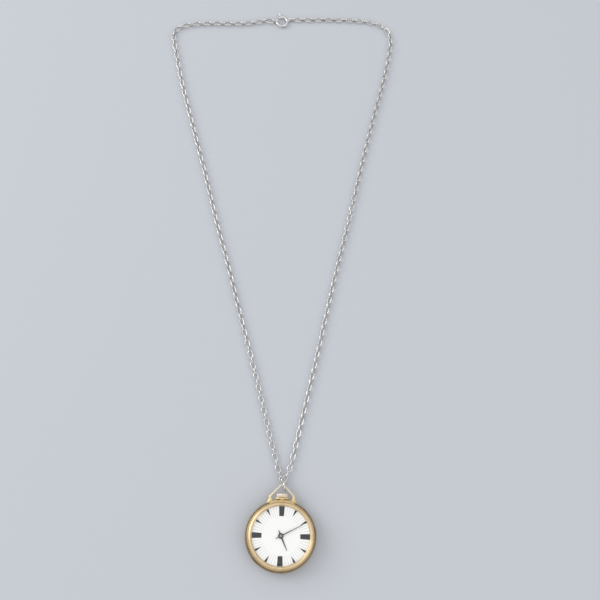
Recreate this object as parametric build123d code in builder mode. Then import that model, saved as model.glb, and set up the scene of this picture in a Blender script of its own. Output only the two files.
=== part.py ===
from build123d import *

import os
from math import atan2, cos, degrees, dist, pi, radians, sin, sqrt, tan

os.makedirs("parts", exist_ok=True)

# Pendant watch on a fine cable chain, in millimetres.
# The origin is the centre of the flat on the case back. +Z points out through the dial,
# +Y points at 12 o'clock, the crown and the bow, and +X points at 3 o'clock.

# Case, seen as rings about Z
case_radius = 14.25
band_slope_width = 0.95
bezel_radius = case_radius - band_slope_width
case_wall = 1.8
case_bore_radius = case_radius - case_wall
band_bottom = 1.5
band_height = 3.8
band_chamfer = 1.25
flute_count = 96
flute_width = 0.34
flute_depth = 0.16
rebate_width = 0.47
rebate_depth = 0.42
snap_clearance = 0.02
overrun = 1.0
half_overrun = overrun / 2
# Share of a tooth pitch from the middle of a tooth to the middle of the gap
half_tooth_share = 0.5

# Case back
back_edge_width = 3.8
back_flat_radius = bezel_radius - back_edge_width
back_wall = 0.6
back_edge_rise = 1.1
back_lip_height = 0.6
back_lip_wall = 0.45
back_lip_root = 0.35

# Bezel and crystal
bezel_lip_thickness = 0.2
bezel_crown_height = 0.85
bezel_top_land = 0.16
bezel_side_height = 0.4
bezel_wall = 0.5
crystal_clearance = 0.02
crystal_radius = case_bore_radius - bezel_wall
crystal_ledge = 0.35
dial_opening_radius = crystal_radius - crystal_ledge
crystal_rim_wall = 0.45
crystal_rim_height = 0.72
crystal_dome_height = 1.75
crystal_wall = 0.7

# Dial, its feet and its hour markers
dial_inset = 0.45
dial_radius = case_bore_radius - dial_inset
dial_thickness = 0.35
dial_lip_gap = 0.05
dial_hole_radius = 0.8
dial_foot_radius = 0.35
dial_foot_length = 1.45
dial_foot_inset = 1.8
dial_foot_ring_radius = dial_radius - dial_foot_inset
dial_foot_angles = (20.0, 200.0)
marker_height = 0.1
hours_round_dial = 12
block_marker_step = 3
block_inset = 0.15
block_length = 3.85
block_outer_radius = dial_opening_radius - block_inset
block_inner_radius = block_outer_radius - block_length
block_outer_width = 2.16
block_inner_width = 1.8
dart_inset = 0.2
dart_length = 2.5
dart_outer_radius = dial_opening_radius - dart_inset
dart_inner_radius = dart_outer_radius - dart_length
dart_outer_width = 1.05
dart_tip_width = 0.12

# Levels of the movement along Z, from the back to the dial
bridge_outer_z = 1.3
bridge_thickness = 1.2
wheel_space = 1.4
plate_thickness = 1.0
dial_space = 0.7

# Main plate and movement ring
movement_inset = 0.8
movement_radius = case_bore_radius - movement_inset
ring_fit = 0.02
plate_wall_width = 1.35
plate_wall_radius = movement_radius - plate_wall_width
dial_seat_width = 0.75
dial_seat_radius = movement_radius - dial_seat_width
movement_ring_gap = 0.05
window_half_width = 1.5
window_bottom_y = 5.1
window_top_y = 9.6
stem_boss_half_width = 1.7

# Stem, crown and pendant
stem_z = 3.5
stem_radius = 0.45
stem_pilot_radius = 0.25
stem_square_half = 0.3
stem_groove_radius = 0.3
stem_groove_y = 9.9
stem_groove_width = 0.44
stem_pilot_y = 4.4
stem_square_y = 5.2
stem_round_y = 7.35
stem_head_length = 1.25
running_gap = 0.03
pilot_boss_half_width = 0.75
pilot_boss_length = 0.75
pilot_boss_depth = 0.9
crown_radius = 2.2
crown_length = 1.4
crown_recess_radius = 1.35
crown_recess_depth = 0.95
crown_flutes = 22
crown_flute_radius = 0.2
crown_edge_round = 0.22
crown_travel = 0.5
pendant_neck_radius = 1.15
pendant_neck_inset = 0.55
pendant_inner_y = case_bore_radius + pendant_neck_inset
pendant_collar_width = 6.1
pendant_collar_height = 3.4
pendant_collar_gap = 0.2
pendant_collar_y = case_radius + pendant_collar_gap
pendant_collar_thickness = 0.5
crown_gap = 0.15
crown_start_y = pendant_collar_y + pendant_collar_thickness + crown_gap
tube_radius = 0.85
tube_bore_radius = 0.55
tube_end_gap = 0.1
gasket_clearance = 0.02
gasket_length = 0.3
gasket_start = 0.3

# Bow
bow_wire_radius = 0.6
bow_foot_x = 4.2
bow_foot_inset = 0.05
bow_foot_y = case_radius - bow_foot_inset
bow_corner_x = 5.05
bow_corner_rise = 1.05
bow_corner_y = bow_foot_y + bow_corner_rise
bow_height = 6.42
bow_top_y = bow_foot_y + bow_height
bow_corner_round = 0.9
bow_top_round = 1.25
bow_lug_radius = 0.68
bow_lug_length = 1.2

# Gear teeth: shares of the module, and of the tooth pitch
addendum_share = 0.8
dedendum_share = 1.15
tip_width_share = 0.2
root_width_share = 0.56

# Going train
barrel_module = 0.135
barrel_teeth = 72
centre_leaves = 10
barrel_angle = 165.0
centre_module = 0.105
centre_teeth = 80
third_leaves = 10
third_angle = 20.0
third_module = 0.09
third_teeth = 75
fourth_leaves = 10
fourth_angle = -60.0
fourth_module = 0.085
fourth_teeth = 72
escape_leaves = 6
escape_angle = -125.0
escape_teeth = 15
escape_radius = 2.0
escape_rim_radius = 1.35
escape_tip_share = 0.12
escape_root_share = 0.36
escape_hub_radius = 0.45
escape_arbor_radius = 0.15
wheel_thickness = 0.18
rim_share = 0.82
hub_radius = 0.75
spoke_width = 0.42
spoke_count = 4
arbor_radius = 0.28
arbor_shoulder_gap = 0.05
pivot_radius = 0.11
pivot_reach = 0.25
centre_arbor_radius = 0.4
centre_post_radius = 0.27
centre_wheel_z = 2.62
third_wheel_z = 3.5
fourth_wheel_z = 3.02
escape_wheel_z = 3.44
pinion_end_gap = 0.08

# Jewels
jewel_radius = 0.5
jewel_thickness = 0.3
jewel_clearance = 0.02
jewel_seat_gap = 0.01

# Mainspring barrel
drum_radius = 4.66
drum_wall = 0.24
drum_bottom_z = 2.93
drum_floor = 0.17
drum_height = 1.2
barrel_tooth_z = 3.3
barrel_tooth_height = 0.45
cover_thickness = 0.15
cover_fit = 0.02
barrel_pocket_gap = 0.2
barrel_pocket_depth = 0.32
core_radius = 1.1
core_end_gap = 0.02
barrel_neck_radius = 0.5
barrel_square_half = 0.35
barrel_top_pivot_radius = 0.4
barrel_top_pivot_length = 0.3
mainspring_thickness = 0.1
mainspring_height = 0.75
mainspring_pitch = 0.4
mainspring_turns = 7

# Winding work
winding_module = 0.2
winding_leaves = 12
winding_start_y = 7.35
winding_tooth_length = 1.2
winding_length = 2.0
winding_hub_radius = 0.95
crown_wheel_teeth = 22
ratchet_teeth = 45
crown_wheel_y = 5.463
winding_wheel_z = 1.75
ratchet_thickness = 0.4
crown_wheel_thickness = 0.52
wheel_recess_floor = 0.3
wheel_recess_gap = 0.24
crown_wheel_bore = 0.72
crown_boss_radius = 0.69
large_head_radius = 1.1
ratchet_head_radius = 0.9
large_head_height = 0.27
screw_shank_radius = 0.3
screw_hole_clearance = 0.02
screw_slot_width = 0.16
screw_slot_depth = 0.12
click_pivot_distance = 5.45
click_angle = 105.0
click_radius = 0.5
click_thickness = 0.3
click_beak_turn = 20.0
click_beak_radius = 4.42
click_arm_radius = 5.0
click_arm_width = 0.3
click_recess_width = 1.7
click_spring_radius = 0.08
click_spring_gap = 0.03
click_spring_bend = 6.3
click_spring_bend_angle = 92.0
click_spring_end = 6.2
click_spring_end_angle = 114.0
click_spring_bend_round = 0.4

# Clutch and keyless work
clutch_radius = 0.92
clutch_start_y = 5.5
clutch_length = 1.72
clutch_groove_radius = 0.68
clutch_groove_start = 0.35
clutch_groove_width = 0.85
clutch_end_teeth = 10
clutch_tooth_width = 0.2
clutch_tooth_depth = 0.16
square_clearance = 0.03
lever_z_gap = 0.06
lever_thickness = 0.22
lever_pivot_x = 1.6
lever_width = 0.5
lever_hub_radius = 0.45
lever_tail = 1.3
lever_pin_radius = 0.14
lever_pin_gap = 0.05
lever_post_radius = 0.28
yoke_pivot_x = -3.2
yoke_pivot_y = 8.0
yoke_width = 0.7
yoke_pin_radius = 0.14
yoke_pin_gap = 0.06

# Motion work
motion_module = 0.12
cannon_leaves = 10
minute_teeth = 30
minute_leaves = 8
hour_teeth = 32
setting_teeth = 20
minute_angle = 43.6
minute_wheel_gap = 0.1
minute_wheel_thickness = 0.15
minute_leaf_height = 0.4
hour_wheel_gap = 0.34
hour_wheel_thickness = 0.16
hour_tube_radius = 0.72
hour_tube_end_z = 6.3
cannon_radius = 0.5
cannon_end_z = 6.74
cannon_leaf_height = 0.2
setting_recess_depth = 0.5
setting_thickness = 0.7
motion_post_radius = 0.2
motion_post_gap = 0.03

# Hands
hour_hand_z = 6.14
minute_hand_z = 6.5
hand_thickness = 0.1
hand_fit = 0.01
hour_hub_radius = 1.08
minute_hub_radius = 0.86
hour_hand_length = 6.0
hour_hand_width = 0.6
minute_hand_length = 9.6
minute_hand_width = 0.42
hand_tip_width = 0.2
hand_tail = 2.35
hour_hand_angle = 155.3
minute_hand_angle = 62.0

# Escapement and balance
balance_x = 0.2
balance_y = -7.7
pallet_distance = 2.45
pallet_thickness = 0.16
pallet_arm_width = 0.34
pallet_stone_angle = 30.0
pallet_stone_width = 0.16
pallet_stone_length = 0.42
pallet_stone_radius = 1.9
fork_overreach = 0.12
fork_slot_width = 0.28
fork_slot_depth = 0.42
fork_head_width = 0.62
fork_head_length = 0.66
pallet_hub_radius = 0.45
pallet_arbor_radius = 0.2
pallet_bridge_z = 3.05
pallet_bridge_thickness = 0.24
pallet_bridge_half_length = 1.85
pallet_bridge_width = 1.4
pallet_post_radius = 0.42
balance_radius = 3.2
balance_rim_width = 0.32
balance_rim_z = 2.6
balance_rim_height = 0.36
balance_arm_width = 0.4
balance_arm_thickness = 0.14
staff_radius = 0.22
roller_z = 3.3
roller_radius = 0.68
roller_thickness = 0.1
impulse_pin_radius = 0.09
impulse_pin_distance = 0.5
impulse_pin_length = 0.34
cock_thickness = 0.9
cock_width = 2.5
cock_foot_x = -5.3
cock_foot_y = -6.9
cock_foot_radius = 1.4
hairspring_gap = 0.1
hairspring_height = 0.14
hairspring_thickness = 0.06
hairspring_pitch = 0.22
hairspring_turns = 7
collet_radius = 0.36
stud_radius = 0.16
regulator_inner_radius = 0.6
regulator_ring_width = 0.3
regulator_length = 2.4
regulator_thickness = 0.16
regulator_width = 0.32
regulator_boss_height = 0.22
regulator_angle = 172.0
regulator_gap = 0.04
balance_clearance = 0.2

# Bridges and their screws
bridge_inset = 0.15
bridge_radius = movement_radius - bridge_inset
bridge_split_x = 2.9
bridge_gap = 0.16
barrel_bridge_bottom_y = -3.9
train_bridge_bottom_y = -6.2
train_bridge_top_inset = 3.1
train_bridge_top_y = bridge_radius - train_bridge_top_inset
bridge_edge_round = 0.5
screw_ring_inset = 0.75
screw_ring_radius = movement_radius - screw_ring_inset
barrel_screw_angles = (112.0, 148.0, 186.0)
train_screw_angles = (-22.0, 14.0, 42.0)
screw_head_radius = 0.5
screw_head_height = 0.3
screw_head_proud = 0.1
screw_length = 2.3
small_screw_head_radius = 0.36
small_screw_head_height = 0.16
small_screw_length = 1.0
small_shank_radius = 0.18
dial_screw_length = 1.0

# Chain: oval links of round wire
link_wire = 0.5
link_width = 2.2
link_inner_length = 2.54
link_pitch = 2.48
chain_height = 1.1
bend_share = 0.45

# Jump ring that hangs the watch on the chain
jump_ring_radius = 2.07
jump_ring_wire = 0.65
jump_ring_x = 0.6
jump_ring_hang = 0.72
jump_ring_y = bow_top_y - jump_ring_hang
jump_ring_z = 2.5
jump_ring_turn = 9.5
left_hook_angle = -50.0
right_hook_angle = 0.0

# Spring ring clasp
clasp_x = -8.35
clasp_y = 237.9
clasp_run_angle = 174.83
clasp_ring_radius = 2.42
clasp_tube_radius = 0.55
clasp_bore_radius = 0.36
clasp_gap_start = 135.0
clasp_gap_end = 175.0
clasp_bore_end = -32.0
clasp_hook_angle = 186.0
clasp_socket = 6.0
latch_radius = 0.32
latch_start = 62.0
latch_end = 178.5
latch_knob_angle = 105.0
latch_travel = 45.0
latch_slot_half_width = 0.2
latch_post_radius = 0.15
latch_knob_radius = 0.42
latch_knob_height = 1.55
latch_spring_length = 40.0
latch_spring_gap = 1.5
latch_spring_radius = 0.25
latch_spring_wire = 0.05
latch_spring_coils = 9
latch_spring_steps = 10
eye_angle = 19.0
eye_distance = 3.62
eye_radius = 0.82
eye_hole_radius = 0.42
eye_thickness = 0.4
eye_play = 0.06
end_link_length = 4.1
end_link_width = 2.57
end_link_wire = 0.55
clasp_link_inner_length = 2.62
clasp_link_inner_width = 1.24
clasp_link_wire = 0.45

# Routes of the two chain strands on the table, from the jump ring to the clasp. These and
# the clasp's place are laid out for a jump ring at route_ring_y, and move along with it.
route_ring_y = 19.9
left_route = [
    (-1.1, 23.2, 1.15), (-3.3, 30.8, 1.1), (-8.8, 50.2, 1.1), (-14.3, 70.1, 1.1), (-20.6, 90.6, 1.1),
    (-26.5, 111.8, 1.1), (-33.4, 133.4, 1.1), (-39.6, 156.1, 1.1), (-46.7, 179.2, 1.1),
    (-53.9, 203.4, 1.1), (-57.4, 218.3, 1.1), (-59.4, 226.9, 1.1), (-57.9, 231.2, 1.1),
    (-52.6, 233.5, 1.1), (-43.4, 234.7, 1.1), (-30.0, 235.3, 1.1), (-21.3, 236.4, 1.1),
]
right_route = [
    (1.8, 23.6, 1.8), (3.9, 31.3, 1.1), (7.9, 51.1, 1.1), (12.1, 71.5, 1.1), (16.1, 92.6, 1.1),
    (20.3, 114.6, 1.1), (25.3, 137.0, 1.1), (29.7, 160.5, 1.1), (34.9, 184.7, 1.1),
    (40.4, 207.6, 1.1), (42.4, 218.3, 1.1), (44.2, 230.4, 1.1), (42.6, 236.3, 1.1),
    (36.9, 240.0, 1.1), (26.6, 240.9, 1.1), (11.0, 240.4, 1.1), (3.6, 239.7, 1.1),
]
# Roll of the chain along each strand: share of the strand's length, and degrees
left_roll_shares = [(0.0, 0.0), (0.2, 4.0), (0.3, 45.0), (0.62, 45.0), (0.78, 20.0), (1.0, 0.0)]
right_roll_shares = [
    (0.0, 0.0), (0.12, 45.0), (0.38, 42.0), (0.45, 4.0), (0.55, 45.0), (0.8, 40.0), (1.0, 0.0),
]

# Levels and places that follow from the sizes above
band_top = band_bottom + band_height
bridge_inner_z = bridge_outer_z + bridge_thickness
plate_inner_z = bridge_inner_z + wheel_space
plate_outer_z = plate_inner_z + plate_thickness
dial_back_z = plate_outer_z + dial_space
dial_top_z = dial_back_z + dial_thickness
bezel_lip_z = dial_top_z + dial_lip_gap
crystal_seat_z = bezel_lip_z + bezel_lip_thickness
back_lip_radius = case_bore_radius - snap_clearance
back_lip_top_z = band_bottom + back_lip_height
bezel_bore_radius = crystal_radius + crystal_clearance
wheel_recess_z = bridge_inner_z - wheel_recess_floor
train_bridge_left_x = bridge_split_x + bridge_gap
chain_shift_y = jump_ring_y - route_ring_y


def pitch_radius(teeth, module):
    """Pitch radius of a gear."""
    return teeth * module / 2


def tip_radius(teeth, module):
    """Radius over the tips of a gear's teeth."""
    return pitch_radius(teeth, module) + addendum_share * module


def polar(centre, distance, angle):
    """The point at a distance and an angle in degrees from a centre."""
    return (centre[0] + distance * cos(radians(angle)), centre[1] + distance * sin(radians(angle)))


def bearing(start, end):
    """The angle in degrees of the line from one point to another."""
    return degrees(atan2(end[1] - start[1], end[0] - start[0]))


def meshed_turn(angle, teeth, turn, other_teeth):
    """Turn of a gear whose gap meets a tooth of the gear before it, at the given angle."""
    share = ((angle - turn) / (360 / teeth)) % 1
    return angle + 180 + (share + half_tooth_share) * 360 / other_teeth


def at(place, z):
    """The level plane at a place of the movement."""
    return Plane((place[0], place[1], z))


def along_stem(y):
    """The plane square to the stem's axis at y, facing the crown."""
    return Plane((0, y, stem_z), x_dir=(1, 0, 0), z_dir=(0, 1, 0))


def toothed_points(teeth, root, tip, root_share, tip_share, turn):
    """Outline of a toothed disc: each tooth has straight flanks and a narrow tip."""
    pitch = 2 * pi / teeth
    points = []
    for tooth in range(teeth):
        middle = radians(turn) + tooth * pitch
        for radius, offset in (
            (root, -root_share / 2), (tip, -tip_share / 2), (tip, tip_share / 2), (root, root_share / 2),
        ):
            points.append((radius * cos(middle + offset * pitch), radius * sin(middle + offset * pitch)))
    return points


def toothed_disc(points):
    """Adds a toothed outline to the sketch that is open."""
    Polygon(*points, align=None)


def gear_disc(teeth, module, turn):
    """Adds a gear's outline to the sketch that is open."""
    root = pitch_radius(teeth, module) - dedendum_share * module
    toothed_disc(
        toothed_points(teeth, root, tip_radius(teeth, module), root_width_share, tip_width_share, turn)
    )


def bar(start, end, width):
    """Adds a bar with round ends, from one point to another, to the sketch that is open."""
    middle = ((start[0] + end[0]) / 2, (start[1] + end[1]) / 2, 0)
    with Locations(Location(middle, (0, 0, bearing(start, end)))):
        SlotCenterToCenter(dist(start, end), width)


def crossings(outer, inner):
    """Cuts the windows between the spokes of a wheel out of the sketch that is open."""
    Circle(outer, mode=Mode.SUBTRACT)
    Circle(inner)
    with PolarLocations(0, spoke_count // 2, angular_range=180):
        Rectangle(2 * outer + spoke_width, spoke_width, mode=Mode.ADD)


# Places of the arbors, worked out from the gears that mesh
centre_place = (0.0, 0.0)
barrel_place = polar(centre_place, pitch_radius(barrel_teeth + centre_leaves, barrel_module), barrel_angle)
third_place = polar(centre_place, pitch_radius(centre_teeth + third_leaves, centre_module), third_angle)
fourth_place = polar(third_place, pitch_radius(third_teeth + fourth_leaves, third_module), fourth_angle)
escape_place = polar(fourth_place, pitch_radius(fourth_teeth + escape_leaves, fourth_module), escape_angle)
balance_place = (balance_x, balance_y)
line_angle = bearing(escape_place, balance_place)
pallet_place = polar(escape_place, pallet_distance, line_angle)
cock_foot_place = (cock_foot_x, cock_foot_y)
crown_wheel_place = (0.0, crown_wheel_y)
minute_place = polar(centre_place, pitch_radius(cannon_leaves + minute_teeth, motion_module), minute_angle)
setting_reach = pitch_radius(minute_teeth + setting_teeth, motion_module)
setting_place = (0.0, minute_place[1] + sqrt(setting_reach**2 - minute_place[0] ** 2))
click_place = polar(barrel_place, click_pivot_distance, click_angle)
pallet_posts = [
    polar(pallet_place, pallet_bridge_half_length, line_angle + side * 90) for side in (-1, 1)
]

# Case back: a shallow dished cover with a snap lip
with BuildPart() as case_back:
    with BuildSketch(Plane.XZ):
        with BuildLine():
            Line((0, 0), (back_flat_radius, 0))
            TangentArc((back_flat_radius, 0), (bezel_radius, back_edge_rise), tangent=(1, 0))
            Polyline(
                (bezel_radius, back_edge_rise),
                (bezel_radius, band_bottom),
                (back_lip_radius, band_bottom),
                (back_lip_radius, back_lip_top_z),
                (back_lip_radius - back_lip_wall, back_lip_top_z),
                (back_lip_radius - back_lip_wall, band_bottom - back_lip_root),
                (back_flat_radius, back_wall),
                (0, back_wall),
                (0, 0),
            )
        make_face()
    revolve(axis=Axis.Z)
case_back.part.label = "case_back"
export_step(case_back.part, "parts/case_back.step")

# Case body: the fluted band with the pendant neck, its collar and the two lugs of the bow
lug_run = Vector(bow_corner_x - bow_foot_x, bow_corner_y - bow_foot_y, 0).normalized()
band_profile = [
    (bezel_radius, band_bottom),
    (case_radius, band_bottom + band_chamfer),
    (case_radius, band_top - band_chamfer),
    (bezel_radius, band_top),
]
with BuildPart() as case_body:
    with BuildSketch(Plane.XZ):
        with BuildLine():
            Polyline(
                (case_bore_radius, band_bottom),
                *band_profile,
                (case_bore_radius + rebate_width, band_top),
                (case_bore_radius + rebate_width, band_top - rebate_depth),
                (case_bore_radius, band_top - rebate_depth),
                close=True,
            )
        make_face()
    revolve(axis=Axis.Z)
    with BuildPart(mode=Mode.PRIVATE) as flute:
        with BuildSketch(Plane.XZ):
            with BuildLine():
                Polyline(
                    *[(radius - flute_depth, z) for radius, z in band_profile],
                    (case_radius + overrun, band_top),
                    (case_radius + overrun, band_bottom),
                    close=True,
                )
            make_face()
        extrude(amount=flute_width / 2, both=True)
    with PolarLocations(0, flute_count, start_angle=180 / flute_count):
        add(flute.part, mode=Mode.SUBTRACT)
    with BuildSketch(along_stem(pendant_inner_y)):
        Circle(pendant_neck_radius)
    extrude(amount=pendant_collar_y - pendant_inner_y)
    with BuildSketch(along_stem(pendant_collar_y)):
        Ellipse(pendant_collar_width / 2, pendant_collar_height / 2)
    extrude(amount=pendant_collar_thickness)
    for side in (-1, 1):
        foot = Plane(
            (side * bow_foot_x, bow_foot_y, stem_z), x_dir=(0, 0, 1), z_dir=(side * lug_run.X, lug_run.Y, 0)
        )
        with BuildSketch(foot):
            Circle(bow_lug_radius)
        extrude(amount=-bow_lug_length)
    with BuildSketch(along_stem(pendant_inner_y - overrun)):
        Circle(tube_radius + snap_clearance / 2)
    extrude(amount=pendant_collar_y + 2 * overrun - pendant_inner_y, mode=Mode.SUBTRACT)
case_body.part.label = "case_body"
export_step(case_body.part, "parts/case_body.step")

# Bezel: a smooth sloping ring that snaps on the band and holds the crystal
with BuildPart() as bezel:
    with BuildSketch(Plane.XZ):
        with BuildLine():
            skirt_radius = case_bore_radius + rebate_width - snap_clearance
            bezel_top_z = crystal_seat_z + bezel_crown_height
            Polyline(
                (bezel_bore_radius + bezel_top_land, bezel_top_z),
                (bezel_bore_radius, bezel_top_z),
                (bezel_bore_radius, crystal_seat_z),
                (dial_opening_radius, crystal_seat_z),
                (dial_opening_radius, bezel_lip_z),
                (case_bore_radius + snap_clearance, bezel_lip_z),
                (case_bore_radius + snap_clearance, band_top - rebate_depth + snap_clearance),
                (skirt_radius, band_top - rebate_depth + snap_clearance),
                (skirt_radius, band_top),
                (bezel_radius, band_top),
                (bezel_radius, band_top + bezel_side_height),
            )
            TangentArc(
                (bezel_radius, band_top + bezel_side_height),
                (bezel_bore_radius + bezel_top_land, bezel_top_z),
                tangent=(0, 1),
            )
        make_face()
    revolve(axis=Axis.Z)
bezel.part.label = "bezel"
export_step(bezel.part, "parts/bezel.step")

# Crystal: a domed plastic glass with a short upright rim
with BuildPart() as crystal:
    crystal_bottom_z = crystal_seat_z + crystal_clearance
    rim_top_z = crystal_bottom_z + crystal_rim_height
    with BuildSketch(Plane.XZ):
        with BuildLine():
            crown_z = rim_top_z + crystal_dome_height
            inner_radius = crystal_radius - crystal_rim_wall
            inner_z = rim_top_z - crystal_rim_wall
            Polyline(
                (inner_radius, inner_z),
                (inner_radius, crystal_bottom_z),
                (crystal_radius, crystal_bottom_z),
                (crystal_radius, rim_top_z),
            )
            TangentArc((0, crown_z), (crystal_radius, rim_top_z), tangent=(1, 0))
            TangentArc((0, crown_z - crystal_wall), (inner_radius, inner_z), tangent=(1, 0))
            Line((0, crown_z - crystal_wall), (0, crown_z))
        make_face()
    revolve(axis=Axis.Z)
crystal.part.label = "crystal"
export_step(crystal.part, "parts/crystal.step")

# Movement ring: holds the movement central in the case
with BuildPart() as movement_ring:
    with BuildSketch(Plane.XY.offset(back_lip_top_z + ring_fit)):
        Circle(back_lip_radius)
        Circle(movement_radius + ring_fit, mode=Mode.SUBTRACT)
    extrude(amount=dial_back_z - movement_ring_gap - back_lip_top_z - ring_fit)
    with BuildSketch(along_stem(0)):
        Circle(tube_bore_radius)
    extrude(amount=case_radius, mode=Mode.SUBTRACT)
movement_ring.part.label = "movement_ring"
export_step(movement_ring.part, "parts/movement_ring.step")

# Pendant tube: lines the neck, and the crown slides over it
tube_end_y = crown_start_y + crown_recess_depth - tube_end_gap
with BuildPart() as pendant_tube:
    with BuildSketch(along_stem(pendant_inner_y)):
        Circle(tube_radius)
        Circle(tube_bore_radius, mode=Mode.SUBTRACT)
    extrude(amount=tube_end_y - pendant_inner_y)
pendant_tube.part.label = "pendant_tube"
export_step(pendant_tube.part, "parts/pendant_tube.step")

# Crown: a short fluted knob with a recess that swallows the tube's end
stem_end_y = crown_start_y + stem_head_length
with BuildPart() as crown:
    with BuildSketch(along_stem(crown_start_y)):
        Circle(crown_radius)
    extrude(amount=crown_length)
    fillet(crown.edges().group_by(Axis.Y)[-1], radius=crown_edge_round)
    with BuildSketch(along_stem(crown_start_y - overrun)):
        with PolarLocations(crown_radius + crown_flute_radius / 2, crown_flutes):
            Circle(crown_flute_radius)
    extrude(amount=crown_length + 2 * overrun, mode=Mode.SUBTRACT)
    with BuildSketch(along_stem(crown_start_y)):
        Circle(crown_recess_radius)
    extrude(amount=crown_recess_depth, mode=Mode.SUBTRACT)
    with BuildSketch(along_stem(crown_start_y)):
        Circle(stem_radius)
    extrude(amount=stem_head_length, mode=Mode.SUBTRACT)
crown.part.label = "crown"
export_step(crown.part, "parts/crown.step")

# Crown gasket: a ring in the crown's recess that wipes the tube
with BuildPart() as crown_gasket:
    with BuildSketch(along_stem(crown_start_y + gasket_start)):
        Circle(crown_recess_radius - gasket_clearance)
        Circle(tube_radius + gasket_clearance, mode=Mode.SUBTRACT)
    extrude(amount=gasket_length)
crown_gasket.part.label = "crown_gasket"
export_step(crown_gasket.part, "parts/crown_gasket.step")

# Winding stem: a pilot, a square for the clutch, a seat for the winding pinion, a groove
# for the setting lever, and the head that the crown is screwed on
with BuildPart() as winding_stem:
    with BuildSketch(along_stem(stem_pilot_y)):
        Circle(stem_pilot_radius)
    extrude(amount=stem_square_y - stem_pilot_y)
    with BuildSketch(along_stem(stem_square_y)):
        Rectangle(2 * stem_square_half, 2 * stem_square_half)
    extrude(amount=stem_round_y - stem_square_y)
    with BuildSketch(along_stem(stem_round_y)):
        Circle(stem_radius)
    extrude(amount=stem_end_y - stem_round_y)
    with BuildSketch(along_stem(stem_groove_y)):
        Circle(stem_radius + running_gap)
        Circle(stem_groove_radius, mode=Mode.SUBTRACT)
    extrude(amount=stem_groove_width, mode=Mode.SUBTRACT)
winding_stem.part.label = "winding_stem"
export_step(winding_stem.part, "parts/winding_stem.step")

# Bow: a rounded triangle of wire, brazed to the two lugs
with BuildPart() as bow:
    with BuildLine() as bow_line:
        FilletPolyline(
            (bow_foot_x, bow_foot_y, stem_z),
            (bow_corner_x, bow_corner_y, stem_z),
            (0, bow_top_y, stem_z),
            (-bow_corner_x, bow_corner_y, stem_z),
            (-bow_foot_x, bow_foot_y, stem_z),
            radius=[bow_corner_round, bow_top_round, bow_corner_round],
        )
    with BuildSketch(Plane((bow_foot_x, bow_foot_y, stem_z), x_dir=(0, 0, 1), z_dir=lug_run)):
        Circle(bow_wire_radius)
    sweep(path=bow_line.wire())
bow.part.label = "bow"
export_step(bow.part, "parts/bow.step")

# Dial: a thin disc on two feet
with BuildPart() as dial:
    with BuildSketch(Plane.XY.offset(dial_back_z)):
        Circle(dial_radius)
        Circle(dial_hole_radius, mode=Mode.SUBTRACT)
    extrude(amount=dial_thickness)
    with BuildSketch(Plane.XY.offset(dial_back_z)):
        for angle in dial_foot_angles:
            with Locations(polar(centre_place, dial_foot_ring_radius, angle)):
                Circle(dial_foot_radius)
    extrude(amount=-dial_foot_length)
dial.part.label = "dial"
export_step(dial.part, "parts/dial.step")


# Hour markers: tapered blocks at 12, 3, 6 and 9, and darts at the other hours
with BuildPart() as hour_markers:
    with BuildSketch(Plane.XY.offset(dial_top_z)):
        for hour in range(hours_round_dial):
            outer, outer_width = dart_outer_radius, dart_outer_width
            inner, inner_width = dart_inner_radius, dart_tip_width
            if hour % block_marker_step == 0:
                outer, outer_width = block_outer_radius, block_outer_width
                inner, inner_width = block_inner_radius, block_inner_width
            corners = [
                (outer, outer_width / 2), (inner, inner_width / 2),
                (inner, -inner_width / 2), (outer, -outer_width / 2),
            ]
            hour_angle = hour * 360 / hours_round_dial
            with BuildLine():
                Polyline(
                    *[polar(polar(centre_place, along, hour_angle), across, hour_angle + 90)
                      for along, across in corners],
                    close=True,
                )
            make_face()
    extrude(amount=marker_height)
hour_markers.part.label = "hour_markers"
export_step(hour_markers.part, "parts/hour_markers.step")


def clock_hand(name, z, angle, length, width, hub_radius, bore_radius):
    """A slim hand with a round hub and a counterweight tail, pointing at a clock angle."""
    hand_plane = Plane.XY.offset(z).rotated((0, 0, -angle))
    with BuildPart() as hand:
        with BuildSketch(hand_plane):
            with BuildLine():
                Polyline(
                    (-width / 2, 0), (-hand_tip_width / 2, length), (hand_tip_width / 2, length),
                    (width / 2, 0), (hand_tip_width / 2, -hand_tail), (-hand_tip_width / 2, -hand_tail),
                    close=True,
                )
            make_face()
            Circle(hub_radius)
            Circle(bore_radius, mode=Mode.SUBTRACT)
        extrude(amount=hand_thickness)
    hand.part.label = name
    export_step(hand.part, f"parts/{name}.step")


clock_hand(
    "hour_hand", hour_hand_z, hour_hand_angle, hour_hand_length, hour_hand_width,
    hour_hub_radius, hour_tube_radius + hand_fit,
)
clock_hand(
    "minute_hand", minute_hand_z, minute_hand_angle, minute_hand_length, minute_hand_width,
    minute_hub_radius, cannon_radius + hand_fit,
)

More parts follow.
